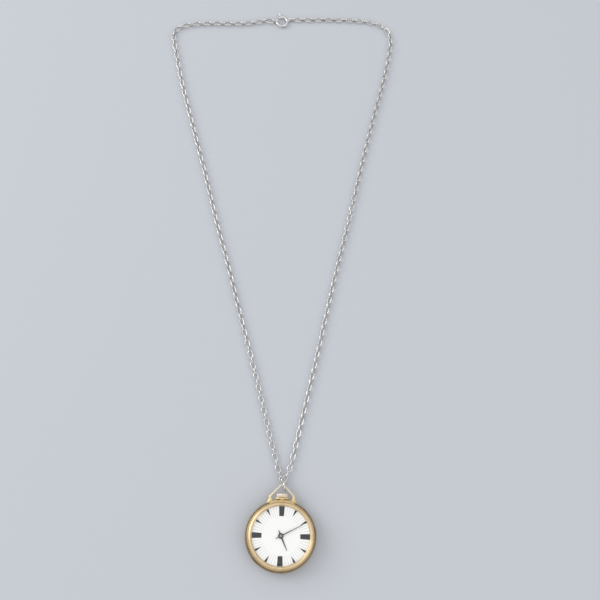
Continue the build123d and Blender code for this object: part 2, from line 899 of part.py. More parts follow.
# Main plate: the disc that carries the movement, with a wall towards the bridges and a
# narrow seat for the dial
plate_jewels = [third_place, fourth_place, escape_place, pallet_place, balance_place]
screw_places = [polar(centre_place, screw_ring_radius, angle) for angle in barrel_screw_angles]
train_screw_places = [polar(centre_place, screw_ring_radius, angle) for angle in train_screw_angles]
with BuildPart() as main_plate:
    with BuildSketch(Plane.XY.offset(plate_inner_z)):
        Circle(movement_radius)
    extrude(amount=plate_thickness)
    with BuildSketch(Plane.XY.offset(bridge_inner_z)):
        Circle(movement_radius)
        Circle(plate_wall_radius, mode=Mode.SUBTRACT)
    extrude(amount=wheel_space)
    with BuildSketch(Plane.XY.offset(plate_outer_z)):
        Circle(movement_radius)
        Circle(dial_seat_radius, mode=Mode.SUBTRACT)
    extrude(amount=dial_space)
    # Boss for the stem behind the wall, and the small boss for its pilot
    with BuildSketch(Plane.XY.offset(bridge_inner_z)):
        with BuildLine():
            Polyline(
                (-stem_boss_half_width, window_top_y), (stem_boss_half_width, window_top_y),
                (stem_boss_half_width, plate_wall_radius), (-stem_boss_half_width, plate_wall_radius),
                close=True,
            )
        make_face()
    extrude(amount=wheel_space)
    with BuildSketch(Plane.XY.offset(plate_inner_z)):
        with Locations((0, window_bottom_y - pilot_boss_length / 2)):
            Rectangle(2 * pilot_boss_half_width, pilot_boss_length)
    extrude(amount=-pilot_boss_depth)
    # Window for the clutch and the winding pinion, and the sunk seat of the setting wheel
    with BuildSketch(Plane.XY.offset(plate_inner_z)):
        with Locations((0, (window_bottom_y + window_top_y) / 2)):
            Rectangle(2 * window_half_width, window_top_y - window_bottom_y)
    extrude(amount=plate_thickness, mode=Mode.SUBTRACT)
    with BuildSketch(at(setting_place, plate_outer_z)):
        Circle(tip_radius(setting_teeth, motion_module) + motion_post_gap + running_gap)
    extrude(amount=-setting_recess_depth, mode=Mode.SUBTRACT)
    # Pocket of the barrel, room for the balance in the wall, and the stem's bore
    barrel_pocket_radius = tip_radius(barrel_teeth, barrel_module) + barrel_pocket_gap
    with BuildSketch(at(barrel_place, bridge_inner_z)):
        Circle(barrel_pocket_radius)
    extrude(amount=wheel_space + barrel_pocket_depth, mode=Mode.SUBTRACT)
    with BuildSketch(at(balance_place, bridge_inner_z)):
        Circle(balance_radius + balance_clearance)
    extrude(amount=balance_rim_height + balance_clearance, mode=Mode.SUBTRACT)
    with BuildSketch(along_stem(window_top_y - overrun)):
        Circle(stem_radius + running_gap)
    extrude(amount=movement_radius + 2 * overrun - window_top_y, mode=Mode.SUBTRACT)
    with BuildSketch(along_stem(stem_pilot_y - overrun)):
        Circle(stem_pilot_radius + running_gap)
    extrude(amount=window_bottom_y + 2 * overrun - stem_pilot_y, mode=Mode.SUBTRACT)
    # Slot for the setting lever's pin
    with BuildSketch(Plane.XY.offset(plate_outer_z)):
        with Locations((0, stem_groove_y + stem_groove_width / 2 + crown_travel / 2)):
            Rectangle(stem_groove_width + crown_travel / 2, stem_groove_width + crown_travel)
    extrude(amount=stem_z - plate_outer_z, mode=Mode.SUBTRACT)
    # Bearings and holes
    with BuildSketch(Plane.XY.offset(plate_inner_z)):
        for place in plate_jewels:
            with Locations(place):
                Circle(jewel_radius + jewel_seat_gap)
    extrude(amount=jewel_thickness, mode=Mode.SUBTRACT)
    with BuildSketch(Plane.XY.offset(plate_inner_z)):
        Circle(centre_arbor_radius + running_gap)
        with Locations(barrel_place):
            Circle(barrel_top_pivot_radius + running_gap)
    extrude(amount=plate_thickness, mode=Mode.SUBTRACT)
    with BuildSketch(Plane.XY.offset(bridge_inner_z)):
        for place in screw_places + train_screw_places:
            with Locations(place):
                Circle(screw_shank_radius + screw_hole_clearance)
    extrude(amount=screw_length - bridge_thickness + half_overrun, mode=Mode.SUBTRACT)
    with BuildSketch(Plane.XY.offset(plate_inner_z)):
        with Locations(cock_foot_place):
            Circle(screw_shank_radius + screw_hole_clearance)
    extrude(amount=plate_thickness / 2, mode=Mode.SUBTRACT)
    with BuildSketch(Plane.XY.offset(plate_inner_z)):
        with Locations(*pallet_posts):
            Circle(small_shank_radius + screw_hole_clearance)
    extrude(amount=plate_thickness / 2, mode=Mode.SUBTRACT)
    with BuildSketch(Plane.XY.offset(plate_outer_z)):
        for angle in dial_foot_angles:
            with Locations(polar(centre_place, dial_foot_ring_radius, angle)):
                Circle(dial_foot_radius + screw_hole_clearance)
    extrude(amount=dial_space - dial_foot_length, mode=Mode.SUBTRACT)
    for angle in dial_foot_angles:
        side_plane = Plane(
            polar(centre_place, movement_radius, angle) + (plate_outer_z - plate_thickness / 2,),
            x_dir=(0, 0, 1), z_dir=(-cos(radians(angle)), -sin(radians(angle)), 0),
        )
        with BuildSketch(side_plane):
            Circle(screw_shank_radius + screw_hole_clearance)
        extrude(amount=movement_radius - dial_foot_ring_radius, mode=Mode.SUBTRACT)
    # Posts on the dial side for the minute wheel, the setting wheel, the lever and the yoke
    with BuildSketch(Plane.XY.offset(plate_outer_z)):
        with Locations(minute_place, (yoke_pivot_x, yoke_pivot_y)):
            Circle(motion_post_radius)
    extrude(amount=dial_space / 2)
    with BuildSketch(at(setting_place, plate_outer_z - setting_recess_depth)):
        Circle(motion_post_radius)
    extrude(amount=setting_recess_depth + dial_space / 2)
    with BuildSketch(Plane.XY.offset(plate_outer_z)):
        with Locations((lever_pivot_x, stem_groove_y + stem_groove_width / 2)):
            Circle(lever_post_radius)
    extrude(amount=dial_space / 2)
main_plate.part.label = "main_plate"
export_step(main_plate.part, "parts/main_plate.step")


def screw(place, head_z, head_radius, head_height, shank_radius, length):
    """Adds a slotted screw whose head faces the case back."""
    with BuildSketch(at(place, head_z)) as face:
        Circle(head_radius)
    extrude(face.sketch, amount=head_height)
    with BuildSketch(at(place, head_z + head_height)) as face:
        Circle(shank_radius)
    extrude(face.sketch, amount=length)
    with BuildSketch(at(place, head_z)) as face:
        Rectangle(2 * head_radius, screw_slot_width)
    extrude(face.sketch, amount=screw_slot_depth, mode=Mode.SUBTRACT)


def jewel_seats(places, face_z, depth):
    """Cuts the seats of jewels into a face, to a depth that is negative towards the back."""
    with BuildSketch(Plane.XY.offset(face_z)) as face:
        for place in places:
            with Locations(place):
                Circle(jewel_radius + jewel_seat_gap)
    extrude(face.sketch, amount=depth, mode=Mode.SUBTRACT)


def screw_seats(places, head_floor_z, end_z):
    """Cuts counterbores for screw heads from the outer side of a bridge, and their holes."""
    with BuildSketch(Plane.XY.offset(bridge_outer_z)) as face:
        with Locations(*places):
            Circle(screw_head_radius + screw_hole_clearance)
    extrude(face.sketch, amount=head_floor_z - bridge_outer_z, mode=Mode.SUBTRACT)
    with BuildSketch(Plane.XY.offset(bridge_outer_z)) as face:
        with Locations(*places):
            Circle(screw_shank_radius + screw_hole_clearance)
    extrude(face.sketch, amount=end_z - bridge_outer_z, mode=Mode.SUBTRACT)


def bridge_outline(left, right, bottom, top):
    """Adds a bridge's outline: the part of its disc within four straight limits."""
    Circle(bridge_radius)
    with Locations(((left + right) / 2, (bottom + top) / 2)):
        Rectangle(right - left, top - bottom, mode=Mode.INTERSECT)


def corners(sketch):
    """The outline's corners, without the seam of its arc."""
    return [corner for corner in sketch.vertices() if abs(corner.Y) > bridge_edge_round]


# Barrel bridge: carries the barrel, the winding wheels and the click
head_floor_z = bridge_outer_z - screw_head_proud + screw_head_height
ratchet_tip = tip_radius(ratchet_teeth, winding_module)
crown_recess_z = winding_wheel_z + crown_wheel_thickness + lever_z_gap
crown_wheel_room = tip_radius(crown_wheel_teeth, winding_module) + wheel_recess_gap
pinion_tip = tip_radius(winding_leaves, winding_module)
click_beak_angle = click_angle - click_beak_turn
crown_wheel_turn = 90.0
ratchet_turn = meshed_turn(
    bearing(crown_wheel_place, barrel_place), crown_wheel_teeth, crown_wheel_turn, ratchet_teeth
)
# The beak drops into the gap between ratchet teeth that is nearest to its angle
ratchet_pitch = 360 / ratchet_teeth
gap_count = round((click_beak_angle - ratchet_turn) / ratchet_pitch - half_tooth_share)
click_gap_angle = ratchet_turn + (gap_count + half_tooth_share) * ratchet_pitch
click_knee = polar(barrel_place, click_arm_radius, click_gap_angle)
spring_tip_radius = click_arm_radius + click_arm_width / 2 + click_spring_gap + click_spring_radius
spring_tip = polar(barrel_place, spring_tip_radius, click_gap_angle)
spring_bend = polar(barrel_place, click_spring_bend, click_spring_bend_angle)
spring_end = polar(barrel_place, click_spring_end, click_spring_end_angle)
with BuildPart() as barrel_bridge:
    with BuildSketch(Plane.XY.offset(bridge_outer_z)) as outline:
        bridge_outline(-bridge_radius, bridge_split_x, barrel_bridge_bottom_y, bridge_radius)
        fillet(corners(outline), radius=bridge_edge_round)
    extrude(amount=bridge_thickness)
    # Recesses of the ratchet wheel, the click with its spring, and the crown wheel
    with BuildSketch(at(barrel_place, bridge_outer_z)):
        Circle(ratchet_tip + wheel_recess_gap)
    extrude(amount=wheel_recess_z - bridge_outer_z, mode=Mode.SUBTRACT)
    with BuildSketch(Plane.XY.offset(bridge_outer_z)):
        bar(click_place, click_knee, click_recess_width)
        bar(spring_tip, spring_bend, click_recess_width / 2)
        bar(spring_bend, spring_end, click_recess_width / 2)
    extrude(amount=wheel_recess_z - bridge_outer_z, mode=Mode.SUBTRACT)
    with BuildSketch(at(crown_wheel_place, bridge_outer_z)):
        Circle(crown_wheel_room)
        Circle(crown_boss_radius, mode=Mode.SUBTRACT)
    extrude(amount=crown_recess_z - bridge_outer_z, mode=Mode.SUBTRACT)
    with BuildSketch(at(crown_wheel_place, bridge_outer_z)):
        Circle(crown_boss_radius)
    extrude(amount=winding_wheel_z - running_gap - bridge_outer_z, mode=Mode.SUBTRACT)
    # Room for the winding pinion
    with BuildSketch(Plane.XY.offset(bridge_inner_z)):
        with Locations((0, (winding_start_y + window_top_y) / 2)):
            Rectangle(2 * window_half_width, window_top_y - winding_start_y + 2 * lever_z_gap)
    extrude(amount=stem_z - pinion_tip - lever_z_gap - bridge_inner_z, mode=Mode.SUBTRACT)
    jewel_seats([centre_place], bridge_inner_z, -jewel_thickness)
    screw_seats(screw_places, head_floor_z, bridge_inner_z)
    with BuildSketch(Plane.XY.offset(bridge_outer_z)):
        with Locations(barrel_place):
            Circle(barrel_neck_radius + running_gap)
        with Locations(crown_wheel_place):
            Circle(screw_shank_radius + screw_hole_clearance)
        with Locations(click_place):
            Circle(small_shank_radius + screw_hole_clearance)
    extrude(amount=bridge_thickness, mode=Mode.SUBTRACT)
barrel_bridge.part.label = "barrel_bridge"
export_step(barrel_bridge.part, "parts/barrel_bridge.step")

# Train bridge: carries the third wheel, the fourth wheel and the escape wheel
with BuildPart() as train_bridge:
    with BuildSketch(Plane.XY.offset(bridge_outer_z)) as outline:
        bridge_outline(train_bridge_left_x, bridge_radius, train_bridge_bottom_y, train_bridge_top_y)
        fillet(corners(outline), radius=bridge_edge_round)
    extrude(amount=bridge_thickness)
    jewel_seats([third_place, fourth_place, escape_place], bridge_inner_z, -jewel_thickness)
    screw_seats(train_screw_places, head_floor_z, bridge_inner_z)
train_bridge.part.label = "train_bridge"
export_step(train_bridge.part, "parts/train_bridge.step")

# Balance cock: a short bridge on one foot, with a boss for the regulator
cock_inner_z = bridge_outer_z + cock_thickness
cock_screw_z = plate_inner_z + plate_thickness / 2 - screw_hole_clearance - screw_length - screw_head_height
with BuildPart() as balance_cock:
    with BuildSketch(Plane.XY.offset(bridge_outer_z)):
        bar(cock_foot_place, balance_place, cock_width)
        with Locations(cock_foot_place):
            Circle(cock_foot_radius)
    extrude(amount=cock_thickness)
    with BuildSketch(at(cock_foot_place, cock_inner_z)):
        Circle(cock_foot_radius)
    extrude(amount=plate_inner_z - cock_inner_z)
    with BuildSketch(at(balance_place, bridge_outer_z)):
        Circle(regulator_inner_radius - running_gap)
    extrude(amount=-regulator_boss_height)
    screw_seats([cock_foot_place], cock_screw_z + screw_head_height, plate_inner_z)
    jewel_seats([balance_place], cock_inner_z, -jewel_thickness)
balance_cock.part.label = "balance_cock"
export_step(balance_cock.part, "parts/balance_cock.step")

# Pallet bridge: a small bar on two posts
pallet_bridge_top_z = pallet_bridge_z + pallet_bridge_thickness
small_head_z = pallet_bridge_z
with BuildPart() as pallet_bridge:
    with BuildSketch(Plane.XY.offset(pallet_bridge_z)):
        bar(pallet_posts[0], pallet_posts[1], pallet_bridge_width)
    extrude(amount=pallet_bridge_thickness)
    with BuildSketch(Plane.XY.offset(pallet_bridge_top_z)):
        with Locations(*pallet_posts):
            Circle(pallet_post_radius)
    extrude(amount=plate_inner_z - pallet_bridge_top_z)
    jewel_seats([pallet_place], pallet_bridge_z, pallet_bridge_thickness)
    with BuildSketch(Plane.XY.offset(pallet_bridge_z)):
        with Locations(*pallet_posts):
            Circle(small_screw_head_radius + screw_hole_clearance)
    extrude(amount=small_screw_head_height, mode=Mode.SUBTRACT)
    with BuildSketch(Plane.XY.offset(pallet_bridge_z)):
        with Locations(*pallet_posts):
            Circle(small_shank_radius + screw_hole_clearance)
    extrude(amount=plate_inner_z - pallet_bridge_z, mode=Mode.SUBTRACT)
pallet_bridge.part.label = "pallet_bridge"
export_step(pallet_bridge.part, "parts/pallet_bridge.step")

# Screws of the bridges and the cock, all alike
with BuildPart() as bridge_screws:
    for place in screw_places + train_screw_places:
        screw(
            place, bridge_outer_z - screw_head_proud, screw_head_radius, screw_head_height,
            screw_shank_radius, screw_length,
        )
    screw(
        cock_foot_place, cock_screw_z, screw_head_radius, screw_head_height,
        screw_shank_radius, screw_length,
    )
bridge_screws.part.label = "bridge_screws"
export_step(bridge_screws.part, "parts/bridge_screws.step")

# Small screws of the pallet bridge and the click, all alike
click_z = winding_wheel_z + running_gap
with BuildPart() as small_screws:
    for place in pallet_posts:
        screw(
            place, small_head_z, small_screw_head_radius, small_screw_head_height, small_shank_radius,
            small_screw_length,
        )
    screw(
        click_place, click_z - running_gap - small_screw_head_height, small_screw_head_radius,
        small_screw_head_height, small_shank_radius, small_screw_length,
    )
small_screws.part.label = "small_screws"
export_step(small_screws.part, "parts/small_screws.step")

# Dial screws: grub screws in the plate's edge that press on the dial feet
with BuildPart() as dial_screws:
    for angle in dial_foot_angles:
        start = polar(centre_place, dial_foot_ring_radius + dial_foot_radius + running_gap, angle)
        axis_plane = Plane(
            start + (plate_outer_z - plate_thickness / 2,),
            x_dir=(0, 0, 1), z_dir=(cos(radians(angle)), sin(radians(angle)), 0),
        )
        with BuildSketch(axis_plane):
            Circle(screw_shank_radius)
        extrude(amount=dial_screw_length)
        with BuildSketch(axis_plane.offset(dial_screw_length)):
            Rectangle(screw_slot_width, 2 * screw_shank_radius)
        extrude(amount=-screw_slot_depth, mode=Mode.SUBTRACT)
dial_screws.part.label = "dial_screws"
export_step(dial_screws.part, "parts/dial_screws.step")

# Jewels: pierced discs in the plate, the bridges and the cock
with BuildPart() as jewels:
    for places, face_z, height in (
        (plate_jewels, plate_inner_z, jewel_thickness),
        ([centre_place, third_place, fourth_place, escape_place], bridge_inner_z, -jewel_thickness),
        ([balance_place], cock_inner_z, -jewel_thickness),
        ([pallet_place], pallet_bridge_z, pallet_bridge_thickness),
    ):
        with BuildSketch(Plane.XY.offset(face_z)):
            with Locations(*places):
                Circle(jewel_radius)
                Circle(pivot_radius + jewel_clearance, mode=Mode.SUBTRACT)
        extrude(amount=height)
jewels.part.label = "jewels"
export_step(jewels.part, "parts/jewels.step")


def arbor(place, radius, bottom_z, top_z):
    """Adds a shaft between two bearings, with a thin pivot in each of them."""
    with BuildSketch(at(place, bottom_z + arbor_shoulder_gap)) as face:
        Circle(radius)
    extrude(face.sketch, amount=top_z - bottom_z - 2 * arbor_shoulder_gap)
    with BuildSketch(at(place, bottom_z - pivot_reach)) as face:
        Circle(pivot_radius)
    extrude(face.sketch, amount=top_z - bottom_z + 2 * pivot_reach)


def spoked_gear(place, z, teeth, module, thickness):
    """Adds a spoked gear."""
    with BuildSketch(at(place, z)) as face:
        gear_disc(teeth, module, 0)
        crossings(rim_share * pitch_radius(teeth, module), hub_radius)
    extrude(face.sketch, amount=thickness)


def pinion(place, z, leaves, module, turn, height):
    """Adds a pinion's leaves."""
    with BuildSketch(at(place, z)) as face:
        gear_disc(leaves, module, turn)
    extrude(face.sketch, amount=height)


# Mainspring barrel: the toothed drum, its cover, its arbor and the mainspring
drum_floor_z = drum_bottom_z + drum_floor
cover_z = drum_bottom_z + drum_height - cover_thickness
barrel_turn = meshed_turn(barrel_angle, centre_leaves, 0, barrel_teeth)
with BuildPart() as barrel_drum:
    with BuildSketch(at(barrel_place, drum_bottom_z)):
        Circle(drum_radius)
    extrude(amount=drum_height)
    pinion(barrel_place, barrel_tooth_z, barrel_teeth, barrel_module, barrel_turn, barrel_tooth_height)
    with BuildSketch(at(barrel_place, drum_floor_z)):
        Circle(drum_radius - drum_wall)
    extrude(amount=drum_height, mode=Mode.SUBTRACT)
    with BuildSketch(at(barrel_place, drum_bottom_z)):
        Circle(barrel_neck_radius + running_gap)
    extrude(amount=drum_height, mode=Mode.SUBTRACT)
barrel_drum.part.label = "barrel_drum"
export_step(barrel_drum.part, "parts/barrel_drum.step")

with BuildPart() as barrel_cover:
    with BuildSketch(at(barrel_place, cover_z)):
        Circle(drum_radius - drum_wall - cover_fit)
        Circle(barrel_top_pivot_radius + running_gap, mode=Mode.SUBTRACT)
    extrude(amount=cover_thickness)
barrel_cover.part.label = "barrel_cover"
export_step(barrel_cover.part, "parts/barrel_cover.step")

with BuildPart() as barrel_arbor:
    with BuildSketch(at(barrel_place, drum_floor_z + core_end_gap)):
        Circle(core_radius)
    extrude(amount=cover_z - drum_floor_z - 2 * core_end_gap)
    with BuildSketch(at(barrel_place, wheel_recess_z)):
        Circle(barrel_neck_radius)
    extrude(amount=drum_floor_z - wheel_recess_z + 2 * core_end_gap)
    with BuildSketch(at(barrel_place, winding_wheel_z)):
        Rectangle(2 * barrel_square_half, 2 * barrel_square_half, rotation=ratchet_turn)
    extrude(amount=wheel_recess_z - winding_wheel_z)
    with BuildSketch(at(barrel_place, cover_z - 2 * core_end_gap)):
        Circle(barrel_top_pivot_radius)
    extrude(amount=cover_thickness + barrel_pocket_gap / 2 + barrel_top_pivot_length)
    with BuildSketch(at(barrel_place, winding_wheel_z)):
        Circle(small_shank_radius + screw_hole_clearance)
    extrude(amount=ratchet_thickness + running_gap, mode=Mode.SUBTRACT)
barrel_arbor.part.label = "barrel_arbor"
export_step(barrel_arbor.part, "parts/barrel_arbor.step")


def spiral_strip(inner_radius, pitch, turns, thickness):
    """Adds a flat spiral of half-turn arcs, in steps of half the pitch, to the open sketch."""
    quarter_pitch = pitch / 4
    with BuildLine() as outline:
        for side in (-1, 1):
            for half in range(2 * turns):
                radius = inner_radius + (2 * half + 1) * quarter_pitch + side * thickness / 2
                shift = -quarter_pitch if half % 2 == 0 else quarter_pitch
                CenterArc((shift, 0), radius, 180 * (half % 2), 180)
        for middle in (inner_radius, inner_radius + turns * pitch):
            Line((middle - thickness / 2, 0), (middle + thickness / 2, 0))
    make_face(outline.edges())


with BuildPart() as mainspring:
    spring_inner = core_radius + mainspring_thickness / 2 + core_end_gap
    spring_z = (drum_floor_z + cover_z - mainspring_height) / 2
    with BuildSketch(at(barrel_place, spring_z)):
        spiral_strip(spring_inner, mainspring_pitch, mainspring_turns, mainspring_thickness)
    extrude(amount=mainspring_height)
mainspring.part.label = "mainspring"
export_step(mainspring.part, "parts/mainspring.step")

# Winding wheels in the barrel bridge, with their screws
with BuildPart() as ratchet_wheel:
    with BuildSketch(at(barrel_place, winding_wheel_z)):
        gear_disc(ratchet_teeth, winding_module, ratchet_turn)
        square_side = 2 * (barrel_square_half + jewel_seat_gap)
        Rectangle(square_side, square_side, rotation=ratchet_turn, mode=Mode.SUBTRACT)
    extrude(amount=ratchet_thickness)
ratchet_wheel.part.label = "ratchet_wheel"
export_step(ratchet_wheel.part, "parts/ratchet_wheel.step")

with BuildPart() as ratchet_screw:
    screw(
        barrel_place, winding_wheel_z - large_head_height, ratchet_head_radius, large_head_height,
        small_shank_radius, ratchet_thickness,
    )
ratchet_screw.part.label = "ratchet_screw"
export_step(ratchet_screw.part, "parts/ratchet_screw.step")

with BuildPart() as crown_wheel:
    with BuildSketch(at(crown_wheel_place, winding_wheel_z)):
        gear_disc(crown_wheel_teeth, winding_module, crown_wheel_turn)
        Circle(crown_wheel_bore, mode=Mode.SUBTRACT)
    extrude(amount=crown_wheel_thickness)
crown_wheel.part.label = "crown_wheel"
export_step(crown_wheel.part, "parts/crown_wheel.step")

with BuildPart() as crown_wheel_screw:
    screw(
        crown_wheel_place, winding_wheel_z - running_gap - large_head_height, large_head_radius,
        large_head_height, screw_shank_radius, wheel_recess_z - winding_wheel_z + wheel_recess_gap,
    )
crown_wheel_screw.part.label = "crown_wheel_screw"
export_step(crown_wheel_screw.part, "parts/crown_wheel_screw.step")

# Click and its wire spring
with BuildPart() as click:
    with BuildSketch(Plane.XY.offset(click_z)):
        bar(click_place, click_knee, click_arm_width)
        with Locations(click_place):
            Circle(click_radius)
        with BuildLine():
            Polyline(
                polar(click_knee, click_arm_width / 2, click_gap_angle + 90),
                polar(barrel_place, click_beak_radius, click_gap_angle),
                polar(click_knee, click_arm_width / 2, click_gap_angle - 90),
                close=True,
            )
        make_face()
        with Locations(click_place):
            Circle(small_shank_radius + screw_hole_clearance, mode=Mode.SUBTRACT)
    extrude(amount=click_thickness)
click.part.label = "click"
export_step(click.part, "parts/click.step")

with BuildPart() as click_spring:
    wire_z = click_z + click_thickness / 2
    points = [place + (wire_z,) for place in (spring_end, spring_bend, spring_tip)]
    with BuildLine() as wire_line:
        FilletPolyline(*points, radius=click_spring_bend_round)
    start_run = Vector(*points[1]) - Vector(*points[0])
    with BuildSketch(Plane(points[0], x_dir=(0, 0, 1), z_dir=start_run)):
        Circle(click_spring_radius)
    sweep(path=wire_line.wire())
    # The end is bent down into the bridge
    with BuildSketch(at(spring_end, wire_z)):
        Circle(click_spring_radius)
    extrude(amount=wheel_recess_z - wire_z)
click_spring.part.label = "click_spring"
export_step(click_spring.part, "parts/click_spring.step")


def face_teeth(y, depth):
    """Cuts radial slots across an end face on the stem's axis."""
    with BuildSketch(along_stem(y)) as face:
        with PolarLocations(0, clutch_end_teeth // 2, angular_range=180):
            Rectangle(2 * pinion_tip, clutch_tooth_width)
    extrude(face.sketch, amount=depth, mode=Mode.SUBTRACT)


# Winding pinion: turns freely on the stem, and its end teeth take the drive of the clutch
with BuildPart() as winding_pinion:
    with BuildSketch(along_stem(winding_start_y)):
        gear_disc(winding_leaves, winding_module, 90 - 180 / winding_leaves)
    extrude(amount=winding_tooth_length)
    with BuildSketch(along_stem(winding_start_y)):
        Circle(winding_hub_radius)
    extrude(amount=winding_length)
    with BuildSketch(along_stem(winding_start_y)):
        Circle(stem_radius + running_gap)
    extrude(amount=winding_length, mode=Mode.SUBTRACT)
    face_teeth(winding_start_y, clutch_tooth_depth)
winding_pinion.part.label = "winding_pinion"
export_step(winding_pinion.part, "parts/winding_pinion.step")

# Sliding pinion: the clutch on the square of the stem, with a groove for the yoke
with BuildPart() as sliding_pinion:
    with BuildSketch(along_stem(clutch_start_y)):
        Circle(clutch_radius)
    extrude(amount=clutch_length)
    with BuildSketch(along_stem(clutch_start_y + clutch_groove_start)):
        Circle(clutch_radius + running_gap)
        Circle(clutch_groove_radius, mode=Mode.SUBTRACT)
    extrude(amount=clutch_groove_width, mode=Mode.SUBTRACT)
    with BuildSketch(along_stem(clutch_start_y)):
        Rectangle(2 * (stem_square_half + square_clearance), 2 * (stem_square_half + square_clearance))
    extrude(amount=clutch_length, mode=Mode.SUBTRACT)
    face_teeth(clutch_start_y, clutch_tooth_depth)
    face_teeth(clutch_start_y + clutch_length, -clutch_tooth_depth)
sliding_pinion.part.label = "sliding_pinion"
export_step(sliding_pinion.part, "parts/sliding_pinion.step")

# Setting lever and yoke: two plates on the dial side, each with a pin that reaches down
lever_z = plate_outer_z + lever_z_gap
groove_middle_y = stem_groove_y + stem_groove_width / 2
lever_pivot_place = (lever_pivot_x, groove_middle_y)
with BuildPart() as setting_lever:
    with BuildSketch(Plane.XY.offset(lever_z)):
        bar(lever_pivot_place, (0, groove_middle_y), lever_width)
        bar(lever_pivot_place, (lever_pivot_x, groove_middle_y - lever_tail), lever_width)
        with Locations(lever_pivot_place):
            Circle(lever_hub_radius)
            Circle(lever_post_radius + running_gap, mode=Mode.SUBTRACT)
    extrude(amount=lever_thickness)
    with BuildSketch(at((0, groove_middle_y), lever_z)):
        Circle(lever_pin_radius)
    extrude(amount=stem_z + stem_groove_radius + lever_pin_gap - lever_z)
setting_lever.part.label = "setting_lever"
export_step(setting_lever.part, "parts/setting_lever.step")

yoke_pin_place = (0, clutch_start_y + clutch_groove_start + clutch_groove_width / 2)
yoke_pivot_place = (yoke_pivot_x, yoke_pivot_y)
with BuildPart() as yoke:
    with BuildSketch(Plane.XY.offset(lever_z)):
        bar(yoke_pivot_place, yoke_pin_place, yoke_width)
        with Locations(yoke_pivot_place):
            Circle(motion_post_radius + running_gap, mode=Mode.SUBTRACT)
    extrude(amount=lever_thickness)
    with BuildSketch(at(yoke_pin_place, lever_z)):
        Circle(yoke_pin_radius)
    extrude(amount=stem_z + clutch_groove_radius + yoke_pin_gap - lever_z)
yoke.part.label = "yoke"
export_step(yoke.part, "parts/yoke.step")

# Motion work under the dial
post_bore = motion_post_radius + motion_post_gap
minute_turn = meshed_turn(minute_angle, cannon_leaves, 0, minute_teeth)
setting_turn = meshed_turn(bearing(minute_place, setting_place), minute_teeth, minute_turn, setting_teeth)
hour_turn = meshed_turn(minute_angle + 180, minute_leaves, 0, hour_teeth)
cannon_z = plate_outer_z + pinion_end_gap
with BuildPart() as cannon_pinion:
    pinion(centre_place, cannon_z, cannon_leaves, motion_module, 0, cannon_leaf_height)
    with BuildSketch(Plane.XY.offset(cannon_z)):
        Circle(cannon_radius)
    extrude(amount=cannon_end_z - cannon_z)
    with BuildSketch(Plane.XY.offset(cannon_z)):
        Circle(centre_post_radius + running_gap)
    extrude(amount=cannon_end_z - cannon_z - hand_thickness, mode=Mode.SUBTRACT)
cannon_pinion.part.label = "cannon_pinion"
export_step(cannon_pinion.part, "parts/cannon_pinion.step")

minute_wheel_z = plate_outer_z + minute_wheel_gap
with BuildPart() as minute_wheel:
    with BuildSketch(at(minute_place, minute_wheel_z)):
        gear_disc(minute_teeth, motion_module, minute_turn)
    extrude(amount=minute_wheel_thickness)
    pinion(
        minute_place, minute_wheel_z + minute_wheel_thickness, minute_leaves, motion_module, 0,
        minute_leaf_height,
    )
    with BuildSketch(at(minute_place, minute_wheel_z)):
        Circle(post_bore)
    extrude(amount=minute_wheel_thickness + minute_leaf_height, mode=Mode.SUBTRACT)
minute_wheel.part.label = "minute_wheel"
export_step(minute_wheel.part, "parts/minute_wheel.step")

hour_wheel_z = plate_outer_z + hour_wheel_gap
with BuildPart() as hour_wheel:
    with BuildSketch(Plane.XY.offset(hour_wheel_z)):
        gear_disc(hour_teeth, motion_module, hour_turn)
    extrude(amount=hour_wheel_thickness)
    with BuildSketch(Plane.XY.offset(hour_wheel_z)):
        Circle(hour_tube_radius)
    extrude(amount=hour_tube_end_z - hour_wheel_z)
    with BuildSketch(Plane.XY.offset(hour_wheel_z)):
        Circle(cannon_radius + running_gap)
    extrude(amount=hour_tube_end_z - hour_wheel_z, mode=Mode.SUBTRACT)
hour_wheel.part.label = "hour_wheel"
export_step(hour_wheel.part, "parts/hour_wheel.step")

with BuildPart() as setting_wheel:
    with BuildSketch(at(setting_place, plate_outer_z - setting_recess_depth + motion_post_gap)):
        gear_disc(setting_teeth, motion_module, setting_turn)
        Circle(post_bore, mode=Mode.SUBTRACT)
    extrude(amount=setting_thickness)
setting_wheel.part.label = "setting_wheel"
export_step(setting_wheel.part, "parts/setting_wheel.step")

# Going train
with BuildPart() as centre_wheel:
    spoked_gear(centre_place, centre_wheel_z, centre_teeth, centre_module, wheel_thickness)
    centre_leaf_z = centre_wheel_z + wheel_thickness
    centre_top_z = plate_inner_z - pinion_end_gap
    pinion(centre_place, centre_leaf_z, centre_leaves, barrel_module, 0, centre_top_z - centre_leaf_z)
    arbor(centre_place, centre_arbor_radius, bridge_inner_z, plate_inner_z)
    with BuildSketch(Plane.XY.offset(centre_top_z)):
        Circle(centre_arbor_radius)
    extrude(amount=plate_outer_z - centre_top_z)
    with BuildSketch(Plane.XY.offset(plate_outer_z)):
        Circle(centre_post_radius)
    extrude(amount=cannon_end_z - 2 * hand_thickness - plate_outer_z)
centre_wheel.part.label = "centre_wheel"
export_step(centre_wheel.part, "parts/centre_wheel.step")

with BuildPart() as third_wheel:
    spoked_gear(third_place, third_wheel_z, third_teeth, third_module, wheel_thickness)
    pinion(
        third_place, centre_wheel_z - running_gap, third_leaves, centre_module,
        meshed_turn(third_angle, centre_teeth, 0, third_leaves), 2 * wheel_thickness,
    )
    arbor(third_place, arbor_radius, bridge_inner_z, plate_inner_z)
third_wheel.part.label = "third_wheel"
export_step(third_wheel.part, "parts/third_wheel.step")

